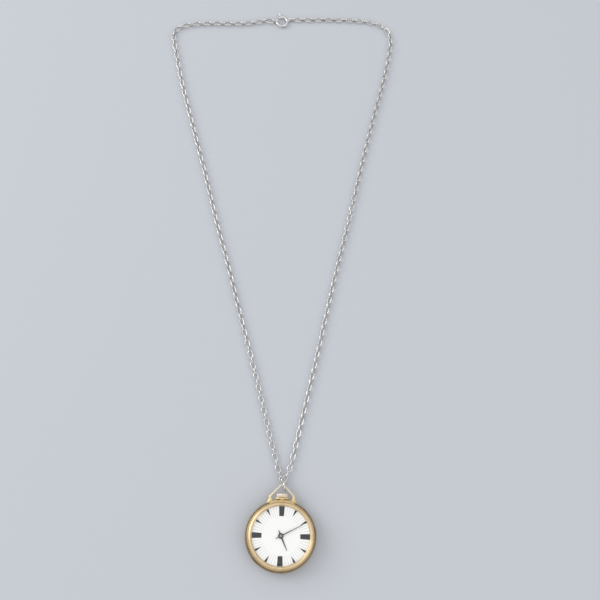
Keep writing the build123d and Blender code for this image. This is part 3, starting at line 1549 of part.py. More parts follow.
with BuildPart() as fourth_wheel:
    spoked_gear(fourth_place, fourth_wheel_z, fourth_teeth, fourth_module, wheel_thickness)
    pinion(
        fourth_place, third_wheel_z - wheel_thickness / 2, fourth_leaves, third_module,
        meshed_turn(fourth_angle, third_teeth, 0, fourth_leaves), 2 * wheel_thickness,
    )
    arbor(fourth_place, arbor_radius, bridge_inner_z, plate_inner_z)
fourth_wheel.part.label = "fourth_wheel"
export_step(fourth_wheel.part, "parts/fourth_wheel.step")

# Escapement: the escape wheel, the pallet fork with its two stones, and the balance
with BuildPart() as escape_wheel:
    with BuildSketch(at(escape_place, escape_wheel_z)):
        toothed_disc(
            toothed_points(
                escape_teeth, escape_rim_radius, escape_radius,
                escape_root_share, escape_tip_share, line_angle,
            )
        )
        crossings(rim_share * escape_rim_radius, escape_hub_radius)
    extrude(amount=wheel_thickness)
    pinion(
        escape_place, fourth_wheel_z - wheel_thickness / 2, escape_leaves, fourth_module,
        meshed_turn(escape_angle, fourth_teeth, 0, escape_leaves), 2 * wheel_thickness,
    )
    arbor(escape_place, escape_arbor_radius, bridge_inner_z, plate_inner_z)
escape_wheel.part.label = "escape_wheel"
export_step(escape_wheel.part, "parts/escape_wheel.step")

stone_angles = [line_angle - pallet_stone_angle, line_angle + pallet_stone_angle]


def stones(clearance):
    """Adds the outlines of the two pallet stones, grown by a clearance, to the open sketch."""
    for angle in stone_angles:
        middle = polar(escape_place, pallet_stone_radius + pallet_stone_length / 2, angle)
        with Locations(Location(middle + (0,), (0, 0, angle))):
            Rectangle(pallet_stone_length + 2 * clearance, pallet_stone_width + 2 * clearance)


pallet_z = escape_wheel_z + (wheel_thickness - pallet_thickness) / 2
fork_reach = dist(pallet_place, balance_place) - impulse_pin_distance + fork_overreach
fork_tip = polar(pallet_place, fork_reach, line_angle)
with BuildPart() as pallet_fork:
    with BuildSketch(Plane.XY.offset(pallet_z)):
        for angle in stone_angles:
            arm_end = polar(escape_place, pallet_stone_radius + pallet_stone_length, angle)
            bar(pallet_place, arm_end, pallet_arm_width)
        bar(pallet_place, polar(pallet_place, fork_reach - fork_head_length, line_angle), pallet_arm_width)
        with Locations(pallet_place):
            Circle(pallet_hub_radius)
        head_middle = polar(fork_tip, -fork_head_length / 2, line_angle)
        with Locations(Location(head_middle + (0,), (0, 0, line_angle))):
            Rectangle(fork_head_length, fork_head_width)
        slot_middle = polar(fork_tip, -fork_slot_depth / 2, line_angle)
        with Locations(Location(slot_middle + (0,), (0, 0, line_angle))):
            Rectangle(fork_slot_depth, fork_slot_width, mode=Mode.SUBTRACT)
        with BuildSketch(mode=Mode.SUBTRACT):
            stones(jewel_seat_gap)
    extrude(amount=pallet_thickness)
    arbor(pallet_place, pallet_arbor_radius, pallet_bridge_top_z, plate_inner_z)
pallet_fork.part.label = "pallet_fork"
export_step(pallet_fork.part, "parts/pallet_fork.step")

with BuildPart() as pallet_stones:
    with BuildSketch(Plane.XY.offset(pallet_z)):
        stones(0)
    extrude(amount=pallet_thickness)
pallet_stones.part.label = "pallet_stones"
export_step(pallet_stones.part, "parts/pallet_stones.step")

with BuildPart() as balance_wheel:
    with BuildSketch(at(balance_place, balance_rim_z)):
        Circle(balance_radius)
        Circle(balance_radius - balance_rim_width, mode=Mode.SUBTRACT)
    extrude(amount=balance_rim_height)
    with BuildSketch(at(balance_place, balance_rim_z + (balance_rim_height - balance_arm_thickness) / 2)):
        Rectangle(2 * balance_radius - balance_rim_width, balance_arm_width)
        Circle(hub_radius)
    extrude(amount=balance_arm_thickness)
    with BuildSketch(at(balance_place, cock_inner_z + arbor_shoulder_gap)):
        Circle(staff_radius)
    extrude(amount=roller_z - cock_inner_z - arbor_shoulder_gap)
    with BuildSketch(at(balance_place, cock_inner_z + hairspring_gap)):
        Circle(collet_radius)
    extrude(amount=hairspring_height)
    with BuildSketch(at(balance_place, roller_z)):
        Circle(roller_radius)
    extrude(amount=roller_thickness)
    with BuildSketch(at(balance_place, cock_inner_z - pivot_reach)):
        Circle(pivot_radius)
    extrude(amount=plate_inner_z - cock_inner_z + 2 * pivot_reach)
    with BuildSketch(at(polar(balance_place, -impulse_pin_distance, line_angle), roller_z)):
        Circle(impulse_pin_radius)
    extrude(amount=roller_thickness + impulse_pin_length)
balance_wheel.part.label = "balance_wheel"
export_step(balance_wheel.part, "parts/balance_wheel.step")

# Hairspring: a fine spiral with a stud at its outer end, under the cock
with BuildPart() as hairspring:
    spiral_inner = collet_radius + hairspring_thickness / 2 + jewel_seat_gap
    stud_plane = Plane(
        balance_place + (cock_inner_z + hairspring_gap,),
        x_dir=(cock_foot_x - balance_x, cock_foot_y - balance_y, 0), z_dir=(0, 0, 1),
    )
    with BuildSketch(stud_plane):
        spiral_strip(spiral_inner, hairspring_pitch, hairspring_turns, hairspring_thickness)
        with Locations((spiral_inner + hairspring_turns * hairspring_pitch, 0)):
            Circle(stud_radius)
    extrude(amount=hairspring_height)
    with BuildSketch(stud_plane):
        with Locations((spiral_inner + hairspring_turns * hairspring_pitch, 0)):
            Circle(stud_radius)
    extrude(amount=-hairspring_gap)
hairspring.part.label = "hairspring"
export_step(hairspring.part, "parts/hairspring.step")

with BuildPart() as regulator:
    with BuildSketch(Plane.XY.offset(bridge_outer_z - regulator_gap)):
        bar(balance_place, polar(balance_place, regulator_length, regulator_angle), regulator_width)
        with Locations(balance_place):
            Circle(regulator_inner_radius + regulator_ring_width)
            Circle(regulator_inner_radius, mode=Mode.SUBTRACT)
    extrude(amount=-regulator_thickness)
regulator.part.label = "regulator"
export_step(regulator.part, "parts/regulator.step")

# Jump ring: a round ring of wire that stands through the bow
ring_across = Vector(cos(radians(jump_ring_turn)), sin(radians(jump_ring_turn)), 0)
ring_along = Vector(-sin(radians(jump_ring_turn)), cos(radians(jump_ring_turn)), 0)
ring_centre = Vector(jump_ring_x, jump_ring_y, jump_ring_z)
with BuildPart() as jump_ring:
    with Locations(Plane(ring_centre, x_dir=ring_along, z_dir=ring_across).location):
        Torus(jump_ring_radius, jump_ring_wire / 2)
jump_ring.part.label = "jump_ring"
export_step(jump_ring.part, "parts/jump_ring.step")

# Spring ring clasp: a hollow ring with a gap, an eye beside it, and a latch in its bore
clasp_centre = (clasp_x, clasp_y + chain_shift_y)
clasp_axis = Axis(clasp_centre + (chain_height,), (0, 0, 1))


def ring_section(angle):
    """The plane across the clasp's ring at an angle, with X outwards."""
    outwards = (cos(radians(angle)), sin(radians(angle)), 0)
    return Plane(
        polar(clasp_centre, clasp_ring_radius, angle) + (chain_height,),
        x_dir=outwards, z_dir=(-outwards[1], outwards[0], 0),
    )


def ring_sector(radius, start, end, mode):
    """Adds or cuts a round bar bent along the clasp's ring, from one angle to another."""
    with BuildSketch(ring_section(start)) as face:
        Circle(radius)
    revolve(face.sketch, axis=clasp_axis, revolution_arc=end - start, mode=mode)


def radial_rod(distance, angle):
    """The plane square to a radius of the clasp at a distance, facing outwards."""
    return Plane(
        polar(clasp_centre, distance, angle) + (chain_height,),
        x_dir=(0, 0, 1), z_dir=(cos(radians(angle)), sin(radians(angle)), 0),
    )


clasp_outer_radius = clasp_ring_radius + clasp_tube_radius
eye_place = polar(clasp_centre, eye_distance, eye_angle)
with BuildPart() as spring_ring:
    ring_sector(clasp_tube_radius, clasp_gap_end, clasp_gap_start + 360, Mode.ADD)
    with BuildSketch(at(eye_place, chain_height)):
        Circle(eye_radius)
    extrude(amount=eye_thickness / 2, both=True)
    with BuildSketch(at(eye_place, chain_height)):
        Circle(eye_hole_radius)
    extrude(amount=eye_thickness, both=True, mode=Mode.SUBTRACT)
    ring_sector(clasp_bore_radius, clasp_bore_end, clasp_gap_start + clasp_socket, Mode.SUBTRACT)
    ring_sector(
        clasp_bore_radius, clasp_gap_end - clasp_socket, clasp_gap_end + clasp_socket, Mode.SUBTRACT
    )
    slot_margin = degrees(2 * latch_post_radius / clasp_ring_radius)
    with BuildSketch(ring_section(latch_knob_angle - latch_travel - slot_margin)):
        with Locations((clasp_tube_radius, 0)):
            Rectangle(2 * clasp_tube_radius, 2 * latch_slot_half_width)
    revolve(axis=clasp_axis, revolution_arc=latch_travel + 2 * slot_margin, mode=Mode.SUBTRACT)
spring_ring.part.label = "spring_ring"
export_step(spring_ring.part, "parts/spring_ring.step")

with BuildPart() as clasp_latch:
    ring_sector(latch_radius, latch_start, latch_end, Mode.ADD)
    with BuildSketch(radial_rod(clasp_outer_radius + latch_slot_half_width, latch_knob_angle)):
        Circle(latch_knob_radius)
    extrude(amount=latch_knob_height)
    with BuildSketch(radial_rod(clasp_ring_radius, latch_knob_angle)):
        Circle(latch_post_radius)
    extrude(amount=clasp_tube_radius + 2 * latch_slot_half_width)
clasp_latch.part.label = "clasp_latch"
export_step(clasp_latch.part, "parts/clasp_latch.step")

# Latch spring: a coil inside the clasp's bore, wound along a curve
with BuildPart() as clasp_spring:
    coil_start = clasp_bore_end + latch_spring_gap
    coil_points = []
    for step in range(latch_spring_coils * latch_spring_steps + 1):
        share = step / (latch_spring_coils * latch_spring_steps)
        coil = 2 * pi * step / latch_spring_steps
        along = coil_start + share * latch_spring_length
        level = chain_height + latch_spring_radius * sin(coil)
        coil_reach = clasp_ring_radius + latch_spring_radius * cos(coil)
        coil_points.append(polar(clasp_centre, coil_reach, along) + (level,))
    with BuildLine() as coil_line:
        Spline(*coil_points)
    with BuildSketch(Plane(coil_points[0], z_dir=coil_line.wire() % 0)):
        Circle(latch_spring_wire)
    sweep(path=coil_line.wire())
clasp_spring.part.label = "clasp_spring"
export_step(clasp_spring.part, "parts/clasp_spring.step")


def oval_link(inner_length, inner_width, wire):
    """A flat oval link of round wire, long along X, with its middle at the origin."""
    straight = (inner_length - inner_width) / 2
    bend = (inner_width + wire) / 2
    with BuildPart() as link:
        with BuildLine() as outline:
            Line((-straight, -bend), (straight, -bend))
            CenterArc((straight, 0), bend, -90, 180)
            Line((straight, bend), (-straight, bend))
            CenterArc((-straight, 0), bend, 90, 180)
        with BuildSketch(Plane((-straight, -bend, 0), x_dir=(0, 1, 0), z_dir=(1, 0, 0))):
            Circle(wire / 2)
        sweep(path=outline.wire())
    return link.part


link_play = (link_inner_length - link_pitch) / 2


def hook_start(hook_angle, target):
    """Where a strand starts, so that its first link's wire lies just inside the jump ring."""
    ring_out = ring_along * cos(radians(hook_angle)) + Vector(0, 0, sin(radians(hook_angle)))
    hooked = ring_centre + ring_out * jump_ring_radius
    run = (target - hooked).normalized()
    lean = run.dot(ring_across)
    grip = ring_out * sqrt(1 - lean * lean) + ring_across * lean
    link_reach = link_wire / 2 + link_play
    return hooked - grip * (jump_ring_wire / 2 + link_reach) + run * link_reach


def on_table(route):
    """A route's points, moved along with the jump ring."""
    return [Vector(x, y + chain_shift_y, z) for x, y, z in route]


def strand_line(name, points):
    """The curve of a strand: straight runs joined by tangent arcs."""
    radii = []
    for before, corner, after in zip(points, points[1:], points[2:]):
        turn = (corner - before).get_angle(after - corner)
        shorter = min((corner - before).length, (after - corner).length)
        radii.append(bend_share * shorter / tan(radians(turn) / 2))
    print(name, "bend radii", [round(radius, 2) for radius in radii])
    with BuildLine() as line:
        FilletPolyline(*points, radius=radii)
    return line.wire()


def roll_at(share, rolls):
    """The chain's roll in degrees at a share of the strand's length."""
    for (start, low), (end, high) in zip(rolls, rolls[1:]):
        if share <= end:
            return low + (high - low) * (share - start) / (end - start)
    return rolls[-1][1]


def link_places(line, rolls):
    """The places of the links along a strand, each a quarter turn from the one before."""
    pairs = round(line.length / (2 * link_pitch))
    step = line.length / (2 * pairs)
    joints = [
        line.position_at(index * step, position_mode=PositionMode.LENGTH)
        for index in range(2 * pairs + 1)
    ]
    places = []
    for index, (start, end) in enumerate(zip(joints, joints[1:])):
        run = end - start
        side = Vector(0, 0, 1).cross(run).normalized()
        up = run.cross(side).normalized()
        roll = radians(roll_at(index / (2 * pairs), rolls) + 90 * (index % 2))
        places.append(Plane((start + end) / 2, x_dir=run, z_dir=up * cos(roll) + side * sin(roll)).location)
    return places


# The pieces between the left strand and the clasp lie on one line, each inside the next
hook_place = Vector(*polar(clasp_centre, clasp_ring_radius, clasp_hook_angle), chain_height)
clasp_run = Vector(*polar((0, 0), 1, clasp_run_angle), 0)
clasp_link_start = -(clasp_tube_radius + link_play)
clasp_link_end = clasp_link_start + clasp_link_inner_length
end_link_start = clasp_link_end - 2 * link_play - end_link_wire
end_link_inner_length = end_link_length - 2 * end_link_wire
end_link_end = end_link_start + end_link_wire + end_link_inner_length
clasp_link_middle = hook_place + clasp_run * ((clasp_link_start + clasp_link_end) / 2)
end_link_middle = hook_place + clasp_run * (end_link_end - end_link_inner_length / 2)

with BuildPart() as clasp_link:
    clasp_link_plane = Plane(clasp_link_middle, x_dir=clasp_run, z_dir=clasp_run.cross(Vector(0, 0, 1)))
    with Locations(clasp_link_plane.location):
        add(oval_link(clasp_link_inner_length, clasp_link_inner_width, clasp_link_wire))
clasp_link.part.label = "clasp_link"
export_step(clasp_link.part, "parts/clasp_link.step")

with BuildPart() as end_link:
    with Locations(Plane(end_link_middle, x_dir=clasp_run, z_dir=(0, 0, 1)).location):
        add(oval_link(end_link_inner_length, end_link_width - 2 * end_link_wire, end_link_wire))
end_link.part.label = "end_link"
export_step(end_link.part, "parts/end_link.step")

# The two strands of the chain
left_finish = hook_place + clasp_run * (end_link_end - link_play)
left_turns = on_table(left_route)
left_points = [hook_start(left_hook_angle, left_turns[0]), *left_turns, left_finish]
eye_centre = Vector(*eye_place, chain_height)
right_turns = on_table(right_route)
eye_run = (right_turns[-1] - eye_centre).normalized()
right_finish = eye_centre + eye_run * (eye_hole_radius - eye_play + link_play)
right_points = [hook_start(right_hook_angle, right_turns[0]), *right_turns, right_finish]
chain_link = oval_link(link_inner_length, link_width - 2 * link_wire, link_wire)
left_places = link_places(strand_line("left strand", left_points), left_roll_shares)
right_places = link_places(strand_line("right strand", right_points), right_roll_shares)
print("links", len(left_places), len(right_places))

with BuildPart() as left_chain_lower:
    with Locations(*left_places[: len(left_places) // 2]):
        add(chain_link)
left_chain_lower.part.label = "left_chain_lower"
export_step(left_chain_lower.part, "parts/left_chain_lower.step")

with BuildPart() as left_chain_upper:
    with Locations(*left_places[len(left_places) // 2 :]):
        add(chain_link)
left_chain_upper.part.label = "left_chain_upper"
export_step(left_chain_upper.part, "parts/left_chain_upper.step")

with BuildPart() as right_chain_lower:
    with Locations(*right_places[: len(right_places) // 2]):
        add(chain_link)
right_chain_lower.part.label = "right_chain_lower"
export_step(right_chain_lower.part, "parts/right_chain_lower.step")

with BuildPart() as right_chain_upper:
    with Locations(*right_places[len(right_places) // 2 :]):
        add(chain_link)
right_chain_upper.part.label = "right_chain_upper"
export_step(right_chain_upper.part, "parts/right_chain_upper.step")
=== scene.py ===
"""The looks of a pendant watch on a fine cable chain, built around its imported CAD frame.

Sizes are in millimetres and turned to metres by MM. The origin is the centre of the flat on the
case back, +Z points out through the dial, +Y at 12 o'clock and the crown, and +X at 3 o'clock.
"""

import logging
import math
from dataclasses import dataclass, field
from enum import Enum
from typing import Any, Iterable, Sequence

import bmesh
import bpy
from mathutils import Matrix, Vector

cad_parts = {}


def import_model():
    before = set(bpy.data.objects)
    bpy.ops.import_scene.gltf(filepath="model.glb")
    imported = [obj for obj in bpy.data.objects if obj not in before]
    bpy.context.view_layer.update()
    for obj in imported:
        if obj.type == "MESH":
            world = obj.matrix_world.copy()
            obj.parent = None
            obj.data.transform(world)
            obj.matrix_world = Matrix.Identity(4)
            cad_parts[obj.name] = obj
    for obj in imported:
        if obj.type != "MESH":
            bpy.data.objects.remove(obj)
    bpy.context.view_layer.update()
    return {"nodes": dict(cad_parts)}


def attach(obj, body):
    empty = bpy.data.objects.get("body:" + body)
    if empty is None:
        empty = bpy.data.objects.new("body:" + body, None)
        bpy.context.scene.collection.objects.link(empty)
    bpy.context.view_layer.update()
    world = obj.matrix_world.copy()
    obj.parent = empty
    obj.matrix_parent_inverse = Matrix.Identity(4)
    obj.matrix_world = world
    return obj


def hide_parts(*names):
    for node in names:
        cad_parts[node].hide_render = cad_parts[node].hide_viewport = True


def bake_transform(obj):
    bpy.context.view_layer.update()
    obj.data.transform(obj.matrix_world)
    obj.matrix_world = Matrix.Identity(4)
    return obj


MM = 0.001
FULL_TURN = 2 * math.pi
QUARTER_TURN = math.pi / 2
UP = Vector((0, 0, 1))
WATCH_BODY = "watch"
TARNISH_AND_SHADE_MASK = "wear"
# Points of a draft that are nearer than this are one point, and so are those of a link's seam
WELD = 1e-5
SEAM_WELD = 1e-4
ON_AXIS = 1e-9
# Directions in a turned profile, of radius and height
OUTWARD = (1.0, 0.0)
UPWARD = (0.0, 1.0)
# The sockets of a Mix node that mixes colours
MIX_SHARE, MIX_UNDER, MIX_OVER, MIX_RESULT = 0, 6, 7, 2

log = logging.getLogger("pendant_watch")

Corner = tuple[float, float]
Point = tuple[float, float, float]
Profile = Sequence[Corner]
Piece = bpy.types.Object
Tree = bpy.types.NodeTree
Socket = bpy.types.NodeSocket
BMVert = bmesh.types.BMVert
BMEdge = bmesh.types.BMEdge


class Roundness(Enum):
    """How many sides the wire or tube of a piece has, by how near it is looked at."""

    CHAIN = 6
    ROD = 16
    FINE = 20
    TUBE = 24


class Edge(Enum):
    """The angle in degrees past which an edge stays sharp in the shading."""

    ROUND = 75.0
    TURNED = 35.0
    FACETED = 20.0


# Colours and nodes


def linear(hex_colour: str) -> tuple[float, float, float, float]:
    """Turns an sRGB hex colour into Blender's linear one, by the two pieces of the sRGB curve.

    Args:
        hex_colour: six hex digits.

    Returns:
        Red, green, blue and alpha, linear.
    """
    channels = [int(hex_colour[index:index + 2], 16) / 255 for index in (0, 2, 4)]
    red, green, blue = (
        value / 12.92 if value <= 0.04045 else ((value + 0.055) / 1.055) ** 2.4
        for value in channels
    )
    return red, green, blue, 1.0


def darker(colour: Sequence[float], share: float) -> tuple[float, float, float, float]:
    """A linear colour with a share of its light, and opaque."""
    red, green, blue = (channel * share for channel in colour[:3])
    return red, green, blue, 1.0


def add_node(
    tree: Tree,
    kind: str,
    settings: dict[Any, Any] | None = None,
    links: dict[Any, Socket] | None = None,
    **attributes: Any,
) -> bpy.types.Node:
    """Adds a node to a tree with its settings and links.

    Args:
        tree: the tree that gets the node.
        kind: Blender's name for the kind of node.
        settings: values by input socket, which is named, or numbered where names repeat.
        links: the sockets that feed the inputs, by input socket.
        attributes: the node's own options.

    Returns:
        The new node.
    """
    made = tree.nodes.new(kind)
    for name, value in attributes.items():
        setattr(made, name, value)
    for socket, value in (settings or {}).items():
        made.inputs[socket].default_value = value
    for socket, source in (links or {}).items():
        tree.links.new(source, made.inputs[socket])
    return made


# Finishes


@dataclass(frozen=True)
class Finish:
    """A finish with its material's name and the name of the slot that it belongs to."""

    name: str
    slot: str

    def material(self) -> bpy.types.Material:
        """Makes the material once and gives it again after that.

        Returns:
            The Blender material of this finish.
        """
        known = bpy.data.materials.get(self.name)
        if known:
            return known
        made = bpy.data.materials.new(self.name)
        made.use_nodes = True
        made.node_tree.nodes.clear()
        surface = self.shade(made.node_tree)
        add_node(made.node_tree, "ShaderNodeOutputMaterial", links={"Surface": surface})
        return made

    def shade(self, tree: Tree) -> Socket:
        """Builds the shader and returns its output socket."""
        raise NotImplementedError

    def cover(self, tree: Tree, surface: Socket, share: Socket, colour: str) -> None:
        """Lays a colour over the one that a shader has.

        Args:
            tree: the material's node tree.
            surface: the shader's output socket.
            share: how much of the colour shows at each point.
            colour: the colour, in sRGB hex.
        """
        base = surface.node.inputs["Base Color"]
        tone = add_node(
            tree, "ShaderNodeMix", {MIX_OVER: linear(colour)},
            {MIX_SHARE: share, MIX_UNDER: base.links[0].from_socket}, data_type="RGBA",
        )
        tree.links.new(tone.outputs[MIX_RESULT], base)

    def noise(self, tree: Tree, place: Socket, size: float, detail: float) -> Socket:
        """Adds noise with clouds of a size in millimetres, and gives its strength."""
        return add_node(
            tree, "ShaderNodeTexNoise", {"Scale": 1 / (size * MM), "Detail": detail}, {"Vector": place}
        ).outputs["Fac"]

    def tone(self, tree: Tree, share: Socket, under: Sequence[float], over: Sequence[float]) -> Socket:
        """Mixes two linear colours by a share, and gives the colour."""
        return add_node(
            tree, "ShaderNodeMix", {MIX_UNDER: under, MIX_OVER: over}, {MIX_SHARE: share},
            data_type="RGBA",
        ).outputs[MIX_RESULT]

    def ramp(self, tree: Tree, value: Socket, start: float, end: float, ends: Corner = (0, 1)) -> Socket:
        """Turns a value that runs from a start to an end into one that runs between two ends."""
        return add_node(
            tree, "ShaderNodeMapRange",
            {"From Min": start, "From Max": end, "To Min": ends[0], "To Max": ends[1]},
            {"Value": value},
        ).outputs["Result"]

    def grain(
        self, tree: Tree, size: float, depth: float, strength: float, roughness: Corner
    ) -> dict[Any, Socket]:
        """Builds an even grain that changes the gloss and stands out of the surface.

        Args:
            tree: the material's node tree.
            size: the grain's width.
            depth: the grain's depth.
            strength: how much of the depth shows.
            roughness: the least and the most roughness.

        Returns:
            What feeds the shader's roughness and normal.
        """
        place = add_node(tree, "ShaderNodeTexCoord").outputs["Object"]
        height = self.noise(tree, place, size, 3.0)
        bump = add_node(
            tree, "ShaderNodeBump", {"Strength": strength, "Distance": depth * MM}, {"Height": height}
        )
        return {"Roughness": self.ramp(tree, height, 0, 1, roughness), "Normal": bump.outputs["Normal"]}


@dataclass(frozen=True)
class PlatedMetal(Finish):
    """Thin bright plate over brass, polished, then rubbed in wear.

    The plate mirrors its surroundings softly. Clouds of rubbing dull it and show a warmer or
    greyer tone, and hairline scratches break up the highlights.
    """

    plate: str
    rubbed: str
    roughness: float
    rubbed_roughness: float
    cloud_size: float = 3.0
    cloud_detail: float = 5.0
    cloud_roughness: float = 0.6
    rubbed_from: float = 0.5
    rubbed_to: float = 0.72
    scratch_length: float = 1.4
    scratch_width: float = 0.05
    scratch_depth: float = 0.004
    scratch_strength: float = 0.35
    scratch_turn: Point = (0.4, 0.3, 0.7)
    metallic: float = 1.0

    def shade(self, tree: Tree) -> Socket:
        """Builds rubbed clouds for colour and roughness, and a bump of hairline scratches.

        Args:
            tree: the material's node tree.

        Returns:
            The shader's output socket.
        """
        place = add_node(tree, "ShaderNodeTexCoord").outputs["Object"]
        clouds = add_node(
            tree, "ShaderNodeTexNoise",
            {
                "Scale": 1 / (self.cloud_size * MM),
                "Detail": self.cloud_detail,
                "Roughness": self.cloud_roughness,
            },
            {"Vector": place},
        ).outputs["Fac"]
        rubbing = self.ramp(tree, clouds, self.rubbed_from, self.rubbed_to)
        tone = self.tone(tree, rubbing, linear(self.plate), linear(self.rubbed))
        gloss = self.ramp(tree, rubbing, 0, 1, (self.roughness, self.rubbed_roughness))
        across = 1 / (self.scratch_width * MM)
        along = add_node(
            tree, "ShaderNodeMapping",
            {"Rotation": self.scratch_turn, "Scale": (1 / (self.scratch_length * MM), across, across)},
            {"Vector": place},
        )
        scratches = add_node(
            tree, "ShaderNodeTexNoise", {"Scale": 1.0, "Detail": 2.0},
            {"Vector": along.outputs["Vector"]},
        )
        bump = add_node(
            tree, "ShaderNodeBump",
            {"Strength": self.scratch_strength, "Distance": self.scratch_depth * MM},
            {"Height": scratches.outputs["Fac"]},
        )
        return add_node(
            tree, "ShaderNodeBsdfPrincipled", {"Metallic": self.metallic},
            {"Base Color": tone, "Roughness": gloss, "Normal": bump.outputs["Normal"]},
        ).outputs["BSDF"]


@dataclass(frozen=True)
class FadedPlate(PlatedMetal):
    """Gold plate on a wire that has gone pale where hands and chain rub it, away from its roots."""

    pale: str = "D9D3C6"
    fade_start_y: float = 15.2
    fade_end_y: float = 17.6
    ragged_size: float = 0.8
    ragged_reach: float = 1.2

    def shade(self, tree: Tree) -> Socket:
        """Builds the plate and fades its colour to pale along the wire.

        Args:
            tree: the material's node tree.

        Returns:
            The shader's output socket.
        """
        surface = super().shade(tree)
        place = add_node(tree, "ShaderNodeTexCoord").outputs["Object"]
        parts = add_node(tree, "ShaderNodeSeparateXYZ", links={"Vector": place})
        ragged = self.noise(tree, place, self.ragged_size, 4.0)
        shifted = add_node(
            tree, "ShaderNodeMath", {1: self.ragged_reach * MM}, {0: ragged, 2: parts.outputs["Y"]},
            operation="MULTIPLY_ADD",
        ).outputs["Value"]
        fade = self.ramp(tree, shifted, self.fade_start_y * MM, self.fade_end_y * MM)
        self.cover(tree, surface, fade, self.pale)
        return surface


@dataclass(frozen=True)
class FlutedPlate(PlatedMetal):
    """Plated metal darker towards the bottom of the flutes that run round a turned piece: painted shade in
    the grooves, and grime settled there.
    """

    flutes: int = 96
    dirt_and_shade: str = "55452C"
    dirt_and_shade_share: float = 0.85
    dirt_and_shade_from: float = 0.0
    dirt_and_shade_full: float = -0.95
    axis_z: float | None = None
    slant_per_mm: float = 0.0

    def shade(self, tree: Tree) -> Socket:
        """Builds the plate and darkens it towards the bottom of each flute, as painted shade and grime.

        Args:
            tree: the material's node tree.

        Returns:
            The shader's output socket.
        """
        surface = super().shade(tree)
        place = add_node(tree, "ShaderNodeTexCoord").outputs["Object"]
        parts = add_node(tree, "ShaderNodeSeparateXYZ", links={"Vector": place})
        side = parts.outputs["Y"]
        if self.axis_z is not None:
            side = add_node(
                tree, "ShaderNodeMath", {1: self.axis_z * MM}, {0: parts.outputs["Z"]},
                operation="SUBTRACT",
            ).outputs["Value"]
        turn = add_node(
            tree, "ShaderNodeMath", operation="ARCTAN2", links={0: side, 1: parts.outputs["X"]}
        )
        lean = add_node(
            tree, "ShaderNodeMath", {1: FULL_TURN * self.slant_per_mm / MM},
            {0: parts.outputs["Z"]}, operation="MULTIPLY",
        )
        phase = add_node(
            tree, "ShaderNodeMath", {1: float(self.flutes)},
            {0: turn.outputs["Value"], 2: lean.outputs["Value"]}, operation="MULTIPLY_ADD",
        )
        wave = add_node(
            tree, "ShaderNodeMath", operation="COSINE", links={0: phase.outputs["Value"]}
        ).outputs["Value"]
        # Painted shade and grime: darker towards the bottom of each flute
        depth = self.ramp(tree, wave, self.dirt_and_shade_from, self.dirt_and_shade_full, (0, self.dirt_and_shade_share))
        self.cover(tree, surface, depth, self.dirt_and_shade)
        return surface


@dataclass(frozen=True)
class TarnishAndShadePlate(PlatedMetal):
    """Plated wire darkened on the side that faces into a link: tarnished there, where nothing rubs it off,
    and in painted shade.
    """

    tarnish_and_shade: str = "4B4741"
    tarnish_and_shade_share: float = 0.85
    tarnish_and_shade_from: float = 0.38
    tarnish_and_shade_full: float = 0.05

    def shade(self, tree: Tree) -> Socket:
        """Builds the plate and darkens it by the link's own wear attribute, as tarnished plate and painted
        shade.

        Args:
            tree: the material's node tree.

        Returns:
            The shader's output socket.
        """
        surface = super().shade(tree)
        wear = add_node(tree, "ShaderNodeAttribute", attribute_name=TARNISH_AND_SHADE_MASK).outputs["Fac"]
        # Painted shade and tarnished plate: darker on the inner side of each link
        depth = self.ramp(tree, wear, self.tarnish_and_shade_from, self.tarnish_and_shade_full, (0, self.tarnish_and_shade_share))
        self.cover(tree, surface, depth, self.tarnish_and_shade)
        return surface


@dataclass(frozen=True)
class TurnedMetal(Finish):
    """Metal turned or ground to a fine even grain, then plated, gilt or left bright.

    The grain gives a soft sheen, with faint stripes of the grinding wheel across it.
    """

    colour: str
    roughness: float
    grain_size: float = 0.04
    grain_depth: float = 0.003
    grain_strength: float = 0.4
    smoothest: float = 0.75
    roughest: float = 1.3
    stripe_width: float = 0.0
    stripe_angle: float = 0.6
    stripe_shade: float = 0.82

    def shade(self, tree: Tree) -> Socket:
        """Builds the grain, and the stripes where the finish has them.

        Args:
            tree: the material's node tree.

        Returns:
            The shader's output socket.
        """
        spread = (self.roughness * self.smoothest, self.roughness * self.roughest)
        links = self.grain(tree, self.grain_size, self.grain_depth, self.grain_strength, spread)
        colour = linear(self.colour)
        if self.stripe_width:
            place = add_node(tree, "ShaderNodeTexCoord").outputs["Object"]
            turned = add_node(
                tree, "ShaderNodeMapping", {"Rotation": (0.0, 0.0, self.stripe_angle)},
                {"Vector": place},
            )
            # A wave of scale one goes through 20 radians in a unit, so this makes a band that wide
            stripes = add_node(
                tree, "ShaderNodeTexWave",
                {"Scale": math.pi / (10 * self.stripe_width * MM)},
                {"Vector": turned.outputs["Vector"]},
                wave_type="BANDS", bands_direction="X", wave_profile="SAW",
            )
            dark = darker(colour, self.stripe_shade)
            links["Base Color"] = self.tone(tree, stripes.outputs["Fac"], colour, dark)
        return add_node(
            tree, "ShaderNodeBsdfPrincipled", {"Metallic": 1.0, "Base Color": colour}, links
        ).outputs["BSDF"]


